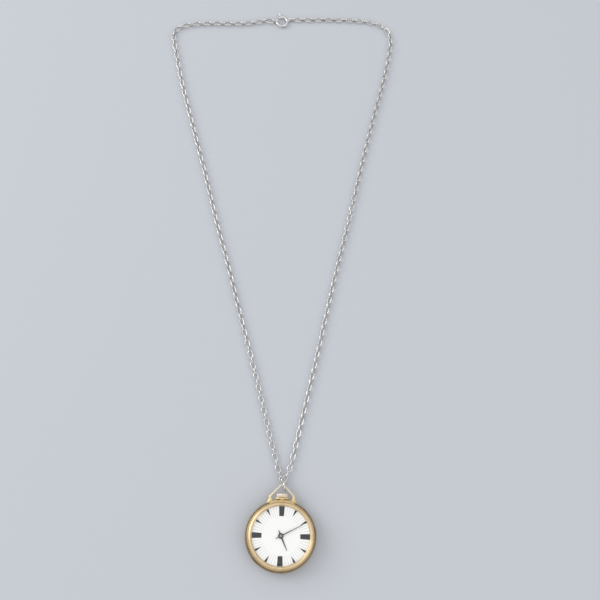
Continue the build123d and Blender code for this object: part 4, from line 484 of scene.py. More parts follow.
@dataclass(frozen=True)
class DialEnamel(Finish):
    """A lacquered silver-white dial.

    The centre is a plain satin disc. Outside it a pressed stroke at each minute catches the light,
    and the edge under the bezel is painted cream, a painted reflection of the gold above it.
    """

    centre_colour: str
    zone_colour: str
    painted_bezel_reflection: str
    ray_colour: str
    centre_radius: float = 7.5
    centre_blur: float = 0.1
    edge_radius: float = 10.9
    rim_radius: float = 11.7
    rays: int = 60
    ray_from: float = 0.2
    ray_full: float = 0.8
    ray_share: float = 0.9
    press_depth: float = 0.01
    press_strength: float = 0.25
    roughness: float = 0.42
    coat: float = 0.25
    coat_roughness: float = 0.12

    def shade(self, tree: Tree) -> Socket:
        """Builds the disc, the rays round it and the painted cream reflection at the edge.

        Args:
            tree: the material's node tree.

        Returns:
            The shader's output socket.
        """
        place = add_node(tree, "ShaderNodeTexCoord").outputs["Object"]
        parts = add_node(tree, "ShaderNodeSeparateXYZ", links={"Vector": place})
        x, y = parts.outputs["X"], parts.outputs["Y"]
        flat = add_node(tree, "ShaderNodeCombineXYZ", links={"X": x, "Y": y})
        reach = add_node(
            tree, "ShaderNodeVectorMath", operation="LENGTH", links={0: flat.outputs["Vector"]}
        ).outputs["Value"]
        turn = add_node(tree, "ShaderNodeMath", operation="ARCTAN2", links={0: y, 1: x})
        phase = add_node(
            tree, "ShaderNodeMath", {1: float(self.rays)}, {0: turn.outputs["Value"]},
            operation="MULTIPLY",
        )
        ray = add_node(
            tree, "ShaderNodeMath", operation="COSINE", links={0: phase.outputs["Value"]}
        ).outputs["Value"]
        inside, outside = self.centre_radius - self.centre_blur, self.centre_radius + self.centre_blur
        zone = self.ramp(tree, reach, inside * MM, outside * MM)
        rim = self.ramp(tree, reach, self.edge_radius * MM, self.rim_radius * MM)
        ray_depth = self.ramp(tree, ray, self.ray_from, self.ray_full, (0, self.ray_share))
        stroke, relief = (
            add_node(tree, "ShaderNodeMath", operation="MULTIPLY", links={0: wave, 1: zone}).outputs["Value"]
            for wave in (ray_depth, ray)
        )
        tone = self.tone(tree, zone, linear(self.centre_colour), linear(self.zone_colour))
        bump = add_node(
            tree, "ShaderNodeBump",
            {"Strength": self.press_strength, "Distance": self.press_depth * MM}, {"Height": relief},
        )
        surface = add_node(
            tree, "ShaderNodeBsdfPrincipled",
            {
                "Metallic": 0.0,
                "Roughness": self.roughness,
                "Coat Weight": self.coat,
                "Coat Roughness": self.coat_roughness,
            },
            {"Base Color": tone, "Normal": bump.outputs["Normal"]},
        ).outputs["BSDF"]
        self.cover(tree, surface, stroke, self.ray_colour)
        # Painted reflection of the gold bezel: a cream tint towards the dial's edge
        self.cover(tree, surface, rim, self.painted_bezel_reflection)
        return surface


@dataclass(frozen=True)
class Lacquer(Finish):
    """A thin dark coat, glossy or satin, with a faint orange-peel ripple."""

    colour: str
    roughness: float
    metallic: float = 0.0
    ripple_size: float = 0.25
    ripple_depth: float = 0.004
    ripple_strength: float = 0.3
    smoothest: float = 0.7
    roughest: float = 1.4

    def shade(self, tree: Tree) -> Socket:
        """Builds the coat and its ripple.

        Args:
            tree: the material's node tree.

        Returns:
            The shader's output socket.
        """
        spread = (self.roughness * self.smoothest, self.roughness * self.roughest)
        return add_node(
            tree, "ShaderNodeBsdfPrincipled",
            {"Base Color": linear(self.colour), "Metallic": self.metallic},
            self.grain(tree, self.ripple_size, self.ripple_depth, self.ripple_strength, spread),
        ).outputs["BSDF"]


@dataclass(frozen=True)
class ClearAcrylic(Finish):
    """Turned and polished acrylic: clear, with a few fine polishing marks."""

    tint: str = "FFFFFF"
    refraction: float = 1.49
    roughness: float = 0.005
    marked_roughness: float = 0.015
    mark_size: float = 1.5
    mark_from: float = 0.45
    mark_full: float = 0.75

    def shade(self, tree: Tree) -> Socket:
        """Builds clear acrylic that lets light through to the dial.

        Args:
            tree: the material's node tree.

        Returns:
            The shader's output socket.
        """
        place = add_node(tree, "ShaderNodeTexCoord").outputs["Object"]
        marks = self.noise(tree, place, self.mark_size, 6.0)
        spread = (self.roughness, self.marked_roughness)
        gloss = self.ramp(tree, marks, self.mark_from, self.mark_full, spread)
        acrylic = add_node(
            tree, "ShaderNodeBsdfPrincipled",
            {"Base Color": linear(self.tint), "IOR": self.refraction, "Transmission Weight": 1.0},
            {"Roughness": gloss},
        )
        through = add_node(tree, "ShaderNodeBsdfTransparent", {"Color": linear(self.tint)})
        path = add_node(tree, "ShaderNodeLightPath")
        # Shadow and diffuse rays pass straight through, so that the dial under the dome is lit
        passing = add_node(
            tree, "ShaderNodeMath", operation="MAXIMUM",
            links={0: path.outputs["Is Shadow Ray"], 1: path.outputs["Is Diffuse Ray"]},
        )
        return add_node(
            tree, "ShaderNodeMixShader",
            links={0: passing.outputs["Value"], 1: acrylic.outputs["BSDF"], 2: through.outputs["BSDF"]},
        ).outputs["Shader"]


@dataclass(frozen=True)
class Ruby(Finish):
    """Synthetic ruby: deep pink, glossy, with light bleeding a little way in."""

    colour: str
    roughness: float = 0.08
    refraction: float = 1.76
    clearness: float = 0.35
    cloud_size: float = 0.4
    cloud_shade: float = 0.6

    def shade(self, tree: Tree) -> Socket:
        """Builds the stone, a little cloudy inside.

        Args:
            tree: the material's node tree.

        Returns:
            The shader's output socket.
        """
        place = add_node(tree, "ShaderNodeTexCoord").outputs["Object"]
        cloud = self.noise(tree, place, self.cloud_size, 2.0)
        colour = linear(self.colour)
        tone = self.tone(tree, cloud, colour, darker(colour, self.cloud_shade))
        return add_node(
            tree, "ShaderNodeBsdfPrincipled",
            {
                "Roughness": self.roughness,
                "IOR": self.refraction,
                "Transmission Weight": self.clearness,
            },
            {"Base Color": tone},
        ).outputs["BSDF"]


@dataclass(frozen=True)
class StudioPaper(Finish):
    """Matt paper on the studio's table."""

    colour: str
    roughness: float = 0.9

    def shade(self, tree: Tree) -> Socket:
        """Builds plain matt paper.

        Args:
            tree: the material's node tree.

        Returns:
            The shader's output socket.
        """
        return add_node(
            tree, "ShaderNodeBsdfPrincipled",
            {"Base Color": linear(self.colour), "Roughness": self.roughness},
        ).outputs["BSDF"]


# Polished gold plate over brass on the back, rubbed dull and a little brown
CASE_GOLD = PlatedMetal("gold_plate", "case_gold", "EDD3A2", "C9AC7A", 0.22, 0.4)
# The same plate round the pendant, satin from handling, so it stays pale at every angle
PENDANT_GOLD = PlatedMetal(
    "gold_plate_satin", "case_gold", "E3CC9D", "CCB17E", 0.36, 0.5, cloud_size=1.5, metallic=0.5
)
# The same plate on the fluted band, dull, painted darker and browner as shade on its steep side, with
# painted shade and grime in the flutes
BAND_GOLD = FlutedPlate(
    "gold_plate_band_shaded", "case_gold", "BFA577", "8A6F48", 0.28, 0.45, flutes=96, slant_per_mm=0.21
)
# The same plate on the smooth bezel, wiped to a wide soft highlight
BEZEL_GOLD = PlatedMetal(
    "gold_plate_bezel", "case_gold", "ECD2A8", "DABA8A", 0.38, 0.48, cloud_size=4.0
)
# Gold plate with more copper in it on the crown, painted near white as the highlights on its ribs, with
# painted shade and grime brown between them
CROWN_GOLD = FlutedPlate(
    "rose_gold_plate", "case_gold", "FFF4E4", "F6E2CA", 0.28, 0.4, cloud_size=1.2,
    metallic=0.4, flutes=22, dirt_and_shade="7A5636", axis_z=3.5,
)
# Gold plate on the bow's wire, yellow at its roots and gone pale towards the top
BOW_PLATE = FadedPlate(
    "faded_gold_plate", "bow_wire", "EDD6A4", "D6BC8A", 0.32, 0.45, cloud_size=1.0, metallic=0.65
)
# Bright rhodium-like plate over brass wire in the clasp and the jump ring, a cool clear mirror
SILVER_PLATE = PlatedMetal(
    "silver_plate", "silver_wire", "E9E8E5", "BDBAB4", 0.14, 0.3, cloud_size=1.5
)
# The same plate on the links, darkened inside each link where they don't rub and stay tarnished, and by
# painted shade there
LINK_SILVER = TarnishAndShadePlate(
    "silver_plate_tarnished_and_shaded", "silver_wire", "F1EFEB", "CFCBC3", 0.16, 0.32, cloud_size=1.0
)
# Nickel-plated brass with the stripes of the grinding wheel, a warm grey with bands across
STRIPED_NICKEL = TurnedMetal("striped_nickel", "plate_nickel", "D2CEC6", 0.3, stripe_width=1.1)
# Gilt brass with a fine turned grain, deep yellow and even
GILT_BRASS = TurnedMetal("gilt_brass", "wheel_brass", "DDB466", 0.3)
# Hardened steel, ground and polished, grey and nearly a mirror
POLISHED_STEEL = TurnedMetal(
    "polished_steel", "movement_steel", "C3C4C8", 0.2, grain_size=0.03, grain_depth=0.001
)
# Spring steel tempered to blue
BLUED_STEEL = TurnedMetal("blued_steel", "spring_blue", "4C5F92", 0.24)
# Machined aluminium, light grey with a soft sheen
TURNED_ALUMINIUM = TurnedMetal("turned_aluminium", "holder_ring", "C9CACC", 0.34)
# Clear lacquer over silvered brass, satin white with pressed strokes, and a painted cream reflection of the
# bezel at its edge
DIAL_WHITE = DialEnamel("dial_lacquer", "dial_white", "FAFBF9", "FEFEFC", "FCF0D6", "DFE3E2")
# Black lacquer on the stamped markers, satin and nearly without highlights
MARKER_BLACK = Lacquer("black_lacquer", "marker_black", "0C0C0D", 0.5)
# Oxidised dark steel under clear lacquer, brown with a thin highlight
HAND_BROWN = Lacquer("dark_hand_lacquer", "hand_dark", "4A3F3A", 0.34, metallic=0.6)
# Cast acrylic, turned and polished, which shows little but its reflections
CRYSTAL_CLEAR = ClearAcrylic("polished_acrylic", "crystal_clear")
# Grown ruby, polished to a glassy deep pink
RUBY_RED = Ruby("synthetic_ruby", "ruby", "C2224B")
# Moulded nitrile rubber, black and dull
GASKET_BLACK = Lacquer("nitrile_rubber", "gasket_rubber", "17171A", 0.7)
# Uncoated paper, pale grey-blue and matt
TABLE_PAPER = StudioPaper("studio_paper", "table", "C3C7CE")


# Mesh drafts


def tangent_arc(start: Corner, end: Corner, tangent: Corner, steps: int) -> list[Corner]:
    """Points on the arc that leaves a point in a direction and ends at another.

    Args:
        start: where the arc starts.
        end: where it ends.
        tangent: the direction in which it leaves the start.
        steps: how many pieces it is divided into.

    Returns:
        The points after the start, up to and with the end.
    """
    chord = Vector(end) - Vector(start)
    way = Vector(tangent).normalized()
    normal = Vector((-way.y, way.x))
    lean = chord.dot(normal)
    radius = chord.length_squared / (2 * lean)
    centre = Vector(start) + normal * radius
    swing = 2 * math.atan2(lean, chord.dot(way))
    spoke = Vector(start) - centre
    turned = [Matrix.Rotation(swing * step / steps, 2) @ spoke for step in range(1, steps + 1)]
    return [(centre.x + spoke_end.x, centre.y + spoke_end.y) for spoke_end in turned]


def along_stem(y: float, z: float) -> Matrix:
    """A matrix that lays a piece turned about Z along +Y, starting at a height on the stem's axis."""
    return Matrix.Translation((0.0, y, z)) @ Matrix.Rotation(-QUARTER_TURN, 4, "X")


def polar(distance: float, degrees: float) -> Vector:
    """A point in the XY plane at a distance and an angle from the origin."""
    angle = math.radians(degrees)
    return Vector((distance * math.cos(angle), distance * math.sin(angle), 0.0))


def facing(way: Vector, place: Vector) -> Matrix:
    """A matrix that turns +Z to a direction and moves the origin to a place."""
    return Matrix.Translation(place) @ way.to_track_quat("Z", "Y").to_matrix().to_4x4()


def lying(run: Vector, normal: Vector, place: Vector) -> Matrix:
    """A matrix that turns +X to a run and +Z to a normal, and moves the origin to a place."""
    return Matrix.Translation(place) @ Matrix((run, normal.cross(run), normal)).transposed().to_4x4()


def only(kind: type, items: Iterable[Any]) -> list[Any]:
    """The elements of one kind among those that an operator gives back."""
    return [item for item in items if isinstance(item, kind)]


def flute_depth(depth: float, turn: float) -> float:
    """How deep a round flute is at a turn of its wave, from 0 on the rib to the full depth."""
    return depth * (0.5 - 0.5 * math.cos(turn))


class Draft:
    """A mesh being shaped in millimetres, turned into a finished piece in metres at the end."""

    def __init__(self) -> None:
        """Starts an empty mesh."""
        self.mesh = bmesh.new()

    def place(self, matrix: Matrix, verts: Iterable[BMVert] | None = None) -> None:
        """Moves vertices, or the whole draft, by a matrix."""
        bmesh.ops.transform(self.mesh, matrix=matrix, verts=list(verts or self.mesh.verts))

    def lathe(self, profile: Profile, steps: int) -> list[BMVert]:
        """Turns a closed profile about Z.

        Args:
            profile: radius and height of each corner, in order round the section.
            steps: how many facets go round.

        Returns:
            The vertices of the turned shape.
        """
        before = set(self.mesh.verts)
        corners = [self.mesh.verts.new((radius, 0.0, height)) for radius, height in profile]
        pairs = list(zip(corners, corners[1:] + corners[:1]))
        on_axis = [abs(first.co.x) + abs(second.co.x) < ON_AXIS for first, second in pairs]
        edges = [self.mesh.edges.new(pair) for pair, skip in zip(pairs, on_axis) if not skip]
        bmesh.ops.spin(
            self.mesh, geom=corners + edges, cent=(0, 0, 0), axis=(0, 0, 1), dvec=(0, 0, 0),
            angle=FULL_TURN, steps=steps, use_merge=True, use_duplicate=False,
        )
        made = [vert for vert in self.mesh.verts if vert not in before]
        bmesh.ops.remove_doubles(self.mesh, verts=made, dist=WELD)
        return [vert for vert in self.mesh.verts if vert not in before]

    def section(self, radius: float, sides: int, matrix: Matrix) -> list[BMEdge]:
        """Adds a circle of edges, in a plane given by a matrix.

        Args:
            radius: the circle's radius.
            sides: how many edges it has.
            matrix: places the circle, which lies in XY before that.

        Returns:
            The circle's edges.
        """
        circle = bmesh.ops.create_circle(
            self.mesh, cap_ends=False, radius=radius, segments=sides, matrix=matrix
        )
        return list({edge for vert in circle["verts"] for edge in vert.link_edges})

    def run(self, edges: list[BMEdge], way: Vector) -> list[BMEdge]:
        """Draws a section out in a straight run.

        Args:
            edges: the section's edges.
            way: how far and in which direction.

        Returns:
            The section's edges at the far end.
        """
        drawn = bmesh.ops.extrude_edge_only(self.mesh, edges=edges)["geom"]
        bmesh.ops.translate(self.mesh, vec=way, verts=only(BMVert, drawn))
        return only(BMEdge, drawn)

    def bend(
        self, edges: list[BMEdge], centre: Vector, axis: Vector, angle: float, steps: int
    ) -> list[BMEdge]:
        """Draws a section round a bend.

        Args:
            edges: the section's edges.
            centre: a point on the bend's axis.
            axis: the bend's axis.
            angle: how far it turns, in radians.
            steps: how many pieces the bend has.

        Returns:
            The section's edges at the far end.
        """
        turned = bmesh.ops.spin(
            self.mesh, geom=edges, cent=centre, axis=axis, dvec=(0, 0, 0),
            angle=angle, steps=steps, use_merge=False, use_duplicate=False,
        )
        return only(BMEdge, turned["geom_last"])

    def cap(self, *loops: list[BMEdge]) -> None:
        """Closes each open end with a face."""
        for loop in loops:
            bmesh.ops.contextual_create(self.mesh, geom=loop)

    def wire(
        self, corners: Sequence[Point], rounds: Sequence[float], radius: float, steps: int = 10
    ) -> None:
        """Bends a round wire through its corners and closes both of its ends.

        Args:
            corners: where the wire's line would turn if its bends were sharp.
            rounds: the radius of the bend at each corner.
            radius: the wire's radius.
            steps: how many pieces each bend has.
        """
        places = [Vector(corner) for corner in corners]
        place = places[0]
        first = self.section(radius, Roundness.FINE.value, facing(places[1] - place, place))
        edges = first
        for index, corner in enumerate(places[1:], 1):
            way = (corner - places[index - 1]).normalized()
            following = (places[min(index + 1, len(places) - 1)] - corner).normalized()
            turn = way.angle(following, 0.0)
            setback = rounds[index] * math.tan(turn / 2)
            end = corner - way * setback
            edges = self.run(edges, end - place)
            place = corner + following * setback
            if turn:
                axis = way.cross(following).normalized()
                edges = self.bend(edges, end + axis.cross(way) * rounds[index], axis, turn, steps)
        self.cap(first, edges)

    def skin(self, stations: Sequence[Matrix], sides: int) -> None:
        """Stretches a closed skin over a row of circles.

        Args:
            stations: places and shapes a circle of radius one, which lies in XY, at each station.
            sides: how many sides the circles have.
        """
        loops = [self.section(1.0, sides, station) for station in stations]
        for near, far in zip(loops, loops[1:]):
            bmesh.ops.bridge_loops(self.mesh, edges=near + far)
        self.cap(loops[0], loops[-1])

    def soften(self, width: float, segments: int = 2, past: float = 50.0) -> None:
        """Rounds every edge that turns more than an angle.

        Args:
            width: how far the rounding reaches from the edge.
            segments: how many facets it has.
            past: the angle in degrees past which an edge is rounded.
        """
        edges = [
            edge for edge in self.mesh.edges
            if edge.is_manifold and edge.calc_face_angle(0.0) > math.radians(past)
        ]
        bmesh.ops.bevel(
            self.mesh, geom=edges, offset=width, offset_type="OFFSET", affect="EDGES",
            segments=segments, profile=0.5, material=-1, clamp_overlap=True,
        )

    def finish(self, name: str, body: str, finish: Finish, edge: Edge = Edge.TURNED) -> Piece:
        """Turns the draft into a shaded piece that rides on a body.

        Args:
            name: the piece's name.
            body: the CAD body that it rides on.
            finish: its finish.
            edge: how sharp an edge stays visible.

        Returns:
            The new object, at the origin.
        """
        bmesh.ops.remove_doubles(self.mesh, verts=self.mesh.verts, dist=WELD)
        bmesh.ops.recalc_face_normals(self.mesh, faces=self.mesh.faces)
        bmesh.ops.scale(self.mesh, vec=(MM, MM, MM), verts=self.mesh.verts)
        data = bpy.data.meshes.new(name)
        self.mesh.to_mesh(data)
        self.mesh.free()
        data.shade_smooth()
        data.set_sharp_from_angle(angle=math.radians(edge.value))
        data.materials.append(finish.material())
        piece = bpy.data.objects.new(name, data)
        bpy.context.scene.collection.objects.link(piece)
        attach(piece, body)
        log.info("%s: %d faces, rides on %s", name, len(data.polygons), body)
        return piece


def oval_wire(
    draft: Draft, inner_length: float, inner_width: float, wire: float, sides: int, bends: int
) -> None:
    """Adds a flat oval link of round wire, long along X, with its middle at the origin.

    The link's wear attribute goes from 0 on the side that faces its opening to 1 outside, and masks the
    painted shade and tarnished plate inside the link.

    Args:
        draft: the draft that gets it.
        inner_length: length of the opening.
        inner_width: width of the opening.
        wire: the wire's diameter.
        sides: sides of the wire.
        bends: pieces in each round end.
    """
    straight = (inner_length - inner_width) / 2
    radius = (inner_width + wire) / 2
    start = Matrix.Translation((-straight, -radius, 0)) @ Matrix.Rotation(QUARTER_TURN, 4, "Y")
    edges = draft.section(wire / 2, sides, start)
    for way in (1, -1):
        edges = draft.run(edges, Vector((2 * way * straight, 0, 0)))
        edges = draft.bend(edges, Vector((way * straight, 0, 0)), UP, math.pi, bends)
    bmesh.ops.remove_doubles(draft.mesh, verts=draft.mesh.verts, dist=SEAM_WELD)
    wear = draft.mesh.verts.layers.float.new(TARNISH_AND_SHADE_MASK)
    for vert in draft.mesh.verts:
        middle = max(-straight, min(straight, vert.co.x))
        reach = math.hypot(vert.co.x - middle, vert.co.y)
        vert[wear] = (reach - inner_width / 2) / wire


# The watch


@dataclass
class WatchCase:
    """The fluted band with its pendant, the smooth bezel, the back and the domed crystal."""

    bore_radius: float = 12.45
    bezel_radius: float = 13.3
    band_radius: float = 14.25
    band_bottom: float = 1.5
    band_top: float = 5.3
    chamfer: float = 1.25
    under_way: Corner = (1.0, 0.55)
    shoulder_way: Corner = (-0.12, 1.0)
    edge_steps: int = 6
    flutes: int = 96
    flute_depth: float = 0.17
    flute_slant: float = 0.21
    flute_margin: float = 0.05
    flute_fade: float = 0.3
    facets_per_flute: int = 8
    fit: float = 0.02
    back_flat_radius: float = 9.5
    back_edge_z: float = 1.1
    back_thickness: float = 0.6
    back_steps: int = 10
    back_round: float = 0.05
    snap_inset: float = 0.47
    snap_height: float = 0.6
    snap_root: float = 0.35
    opening_radius: float = 11.6
    ledge_thickness: float = 0.2
    crystal_radius: float = 11.95
    crystal_seat_z: float = 6.2
    bezel_top_z: float = 7.05
    bezel_side_z: float = 5.7
    bezel_land: float = 0.16
    bezel_lip: float = 0.06
    bezel_steps: int = 12
    bezel_round: float = 0.03
    crystal_rim_z: float = 6.94
    crystal_top_z: float = 8.69
    crystal_wall: float = 0.7
    crystal_rim_wall: float = 0.45
    crystal_steps: int = 16
    crystal_round: float = 0.08
    turned_steps: int = 160

    def flute(self, verts: Iterable[BMVert]) -> None:
        """Presses the fine slanting flutes into the outside of the band.

        Args:
            verts: the band's vertices.
        """
        for vert in verts:
            reach = vert.co.xy.length
            if reach < self.bezel_radius + self.flute_margin:
                continue
            turn = self.flutes * math.atan2(vert.co.y, vert.co.x)
            turn += FULL_TURN * self.flute_slant * vert.co.z
            fade = min(1.0, (reach - self.bezel_radius) / self.flute_fade)
            vert.co.xy = vert.co.xy * ((reach - flute_depth(self.flute_depth * fade, turn)) / reach)

    def band(self) -> None:
        """Turns the band and presses its flutes."""
        draft = Draft()
        low, high = self.band_bottom, self.band_top
        profile = [(self.bore_radius, high), (self.bore_radius, low), (self.bezel_radius, low)]
        profile += tangent_arc(
            profile[-1], (self.band_radius, low + self.chamfer), self.under_way, self.edge_steps
        )
        profile += [(self.band_radius, (low + high) / 2), (self.band_radius, high - self.chamfer)]
        profile += tangent_arc(
            profile[-1], (self.bezel_radius, high), self.shoulder_way, self.edge_steps
        )
        self.flute(draft.lathe(profile, self.flutes * self.facets_per_flute))
        band = draft.finish("case_band", WATCH_BODY, BAND_GOLD, Edge.ROUND)
        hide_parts("case_body")

    def bezel(self) -> None:
        """Turns the smooth sloping bezel."""
        draft = Draft()
        seat_radius = self.crystal_radius + self.fit
        seat, ledge = self.crystal_seat_z, self.crystal_seat_z - self.ledge_thickness
        profile = [
            (seat_radius + self.bezel_land, self.bezel_top_z),
            (seat_radius, self.bezel_top_z - self.bezel_lip), (seat_radius, seat),
            (self.opening_radius, seat), (self.opening_radius, ledge),
            (self.bore_radius, ledge), (self.bore_radius, self.band_top),
            (self.bezel_radius, self.band_top), (self.bezel_radius, self.bezel_side_z),
        ]
        profile += tangent_arc(profile[-1], profile[0], UPWARD, self.bezel_steps)[:-1]
        draft.lathe(profile, self.turned_steps)
        draft.soften(self.bezel_round)
        bezel = draft.finish("bezel_ring", WATCH_BODY, BEZEL_GOLD)
        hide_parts("bezel")

    def back(self) -> None:
        """Turns the dished back."""
        draft = Draft()
        outer, inner = self.bore_radius - self.fit, self.bore_radius - self.snap_inset
        bottom, top = self.band_bottom, self.band_bottom + self.snap_height
        profile = [(0.0, 0.0), (self.back_flat_radius, 0.0)]
        profile += tangent_arc(
            profile[-1], (self.bezel_radius, self.back_edge_z), OUTWARD, self.back_steps
        )
        profile += [
            (self.bezel_radius, bottom), (outer, bottom), (outer, top), (inner, top),
            (inner, bottom - self.snap_root), (self.back_flat_radius, self.back_thickness),
            (0.0, self.back_thickness),
        ]
        draft.lathe(profile, self.turned_steps)
        draft.soften(self.back_round)
        back = draft.finish("case_back_cover", WATCH_BODY, CASE_GOLD)
        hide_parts("case_back")

    def crystal(self) -> None:
        """Turns the domed crystal, hollow under the dome."""
        draft = Draft()
        seat = self.crystal_seat_z + self.fit
        rim = (self.crystal_radius, self.crystal_rim_z)
        inner_rim = (self.crystal_radius - self.crystal_rim_wall, self.crystal_rim_z - self.crystal_rim_wall)
        top, inner_top = (0.0, self.crystal_top_z), (0.0, self.crystal_top_z - self.crystal_wall)
        profile = [(inner_rim[0], seat), (self.crystal_radius, seat)]
        profile += reversed(tangent_arc(top, rim, OUTWARD, self.crystal_steps))
        profile += [top, inner_top] + tangent_arc(inner_top, inner_rim, OUTWARD, self.crystal_steps)
        draft.lathe(profile, self.turned_steps)
        draft.soften(self.crystal_round, 3)
        crystal = draft.finish("domed_crystal", WATCH_BODY, CRYSTAL_CLEAR)
        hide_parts("crystal")

    def build(self) -> None:
        """Builds the four pieces of the case."""
        self.band()
        self.bezel()
        self.back()
        self.crystal()


@dataclass
class Pendant:
    """The neck and collar on the case, the bow's two lugs, the bow and the crown."""

    stem_z: float = 3.5
    tube_bore: float = 0.86
    neck_radius: float = 1.15
    neck_start: float = 13.0
    neck_overlap: float = 0.1
    neck_steps: int = 48
    collar_y: float = 14.41
    collar_width: float = 6.1
    collar_height: float = 3.4
    collar_thickness: float = 0.58
    collar_round: float = 0.1
    collar_round_bore: float = 1.1
    collar_steps: int = 64
    # x, y, half width and half depth of a lug at the bow's corner and in the band
    shoulder_top: tuple[float, float, float, float] = (4.78, 15.0, 0.5, 0.5)
    shoulder_root: tuple[float, float, float, float] = (4.4, 12.3, 2.1, 0.8)
    shoulder_steps: int = 12
    saddle_half_angle: float = 21.0
    saddle_rise: float = 0.07
    saddle_sink: float = 0.3
    saddle_steps: int = 24
    saddle_round: float = 0.05
    foot: Corner = (4.2, 14.2)
    corner: Corner = (5.05, 15.25)
    top_y: float = 20.62
    corner_round: float = 0.9
    top_round: float = 1.25
    wire_radius: float = 0.6
    crown_start: float = 15.1
    crown_radius: float = 2.2
    crown_length: float = 1.4
    crown_edge: float = 0.24
    crown_edge_steps: int = 4
    crown_chamfer: Corner = (0.12, 0.1)
    crown_flutes: int = 22
    crown_facets: int = 12
    crown_flute_depth: float = 0.2
    crown_flute_margin: float = 0.02
    crown_face_radius: float = 1.32
    crown_recess_radius: float = 1.35
    crown_recess_depth: float = 0.95
    stem_radius: float = 0.45
    stem_reach: float = 0.3

    def neck(self) -> None:
        """Builds the round neck between the case and the collar."""
        draft = Draft()
        bore, top = self.tube_bore, self.collar_y - self.neck_start + self.neck_overlap
        profile = [(bore, 0.0), (self.neck_radius, 0.0), (self.neck_radius, top), (bore, top)]
        draft.lathe(profile, self.neck_steps)
        draft.place(along_stem(self.neck_start, self.stem_z))
        neck = draft.finish("pendant_neck", WATCH_BODY, PENDANT_GOLD)
        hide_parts("case_body")

    def collar(self) -> None:
        """Builds the wide oval collar, whose bore stays round."""
        draft = Draft()
        bore, outer, top = self.tube_bore, self.collar_width / 2, self.collar_thickness
        draft.lathe([(bore, 0.0), (outer, 0.0), (outer, top), (bore, top)], self.collar_steps)
        draft.soften(self.collar_round, 3)
        squash = Matrix.Diagonal((1.0, self.collar_height / self.collar_width, 1.0, 1.0))
        draft.place(
            squash, [vert for vert in draft.mesh.verts if vert.co.xy.length >= self.collar_round_bore]
        )
        draft.place(along_stem(self.collar_y, self.stem_z))
        collar = draft.finish("pendant_collar", WATCH_BODY, PENDANT_GOLD)
        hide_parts("case_body")

    def shoulders(self) -> None:
        """Builds the two shoulders that spread from the bow's corners on to the case."""
        top, root = Vector(self.shoulder_top), Vector(self.shoulder_root)
        for name, side in (("bow_lug_left", -1), ("bow_lug_right", 1)):
            draft = Draft()
            stations = []
            for step in range(self.shoulder_steps + 1):
                x, y, width, depth = top.lerp(root, step / self.shoulder_steps)
                stations.append(
                    Matrix.Translation((side * x, y, self.stem_z))
                    @ Matrix.Rotation(QUARTER_TURN, 4, "X") @ Matrix.Diagonal((width, depth, 1.0, 1.0))
                )
            draft.skin(stations, Roundness.FINE.value)
            shoulder = draft.finish(name, WATCH_BODY, PENDANT_GOLD, Edge.ROUND)
            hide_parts("case_body")

    def saddle(self, case: WatchCase) -> None:
        """Builds the smooth pad over the flutes between the bow's feet.

        Args:
            case: the case, whose band the pad lies on.
        """
        draft = Draft()
        rise, sink = self.saddle_rise, self.saddle_sink
        outside, inside = case.band_radius + rise, case.band_radius - sink
        low, high = case.band_bottom + case.chamfer, case.band_top - case.chamfer
        edge = case.bezel_radius + rise / 3
        profile = [(outside, low), (outside, high)]
        profile += tangent_arc(
            profile[-1], (edge, case.band_top + rise / 3), case.shoulder_way, case.edge_steps
        )
        profile += [(edge, case.band_top - sink), (inside, high), (inside, low)]
        start = draft.mesh.faces.new(
            [draft.mesh.verts.new((radius, 0.0, height)) for radius, height in profile]
        )
        angle = math.radians(2 * self.saddle_half_angle)
        bmesh.ops.spin(
            draft.mesh, geom=[start], cent=(0, 0, 0), axis=(0, 0, 1), dvec=(0, 0, 0),
            angle=angle, steps=self.saddle_steps, use_merge=False, use_duplicate=False,
        )
        draft.place(Matrix.Rotation(QUARTER_TURN - angle / 2, 4, "Z"))
        draft.soften(self.saddle_round, past=30.0)
        pad = draft.finish("pendant_saddle", WATCH_BODY, PENDANT_GOLD, Edge.ROUND)
        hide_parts("case_body")

    def bow(self) -> None:
        """Bends the bow's wire through its three rounded corners."""
        draft = Draft()
        right = [(*self.foot, self.stem_z), (*self.corner, self.stem_z)]
        left = [(-x, y, z) for x, y, z in reversed(right)]
        rounds = [0.0, self.corner_round, self.top_round, self.corner_round, 0.0]
        draft.wire(right + [(0.0, self.top_y, self.stem_z)] + left, rounds, self.wire_radius)
        bow = draft.finish("bow_wire", WATCH_BODY, BOW_PLATE, Edge.ROUND)
        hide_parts("bow")

    def crown(self) -> None:
        """Turns the crown and presses its flutes."""
        draft = Draft()
        radius, length, edge = self.crown_radius, self.crown_length, self.crown_edge
        chamfer_in, chamfer_up = self.crown_chamfer
        recess, stem_end = self.crown_recess_depth, self.crown_recess_depth + self.stem_reach
        profile = [
            (self.stem_radius, recess), (self.crown_recess_radius, recess),
            (self.crown_recess_radius, 0.0), (radius - chamfer_in, 0.0), (radius, chamfer_up),
            (radius, length / 2), (radius, length - edge),
        ]
        profile += tangent_arc(profile[-1], (radius - edge, length), UPWARD, self.crown_edge_steps)
        profile += [
            (self.crown_face_radius, length), (0.0, length), (0.0, stem_end), (self.stem_radius, stem_end),
        ]
        for vert in draft.lathe(profile, self.crown_flutes * self.crown_facets):
            reach = vert.co.xy.length
            if reach > radius - edge - self.crown_flute_margin:
                swing = flute_depth(1.0, self.crown_flutes * math.atan2(vert.co.y, vert.co.x))
                vert.co.xy = vert.co.xy * ((reach - self.crown_flute_depth * swing ** 2) / reach)
        draft.place(along_stem(self.crown_start, self.stem_z))
        crown = draft.finish("fluted_crown", "crown_and_stem", CROWN_GOLD, Edge.ROUND)
        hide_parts("crown")

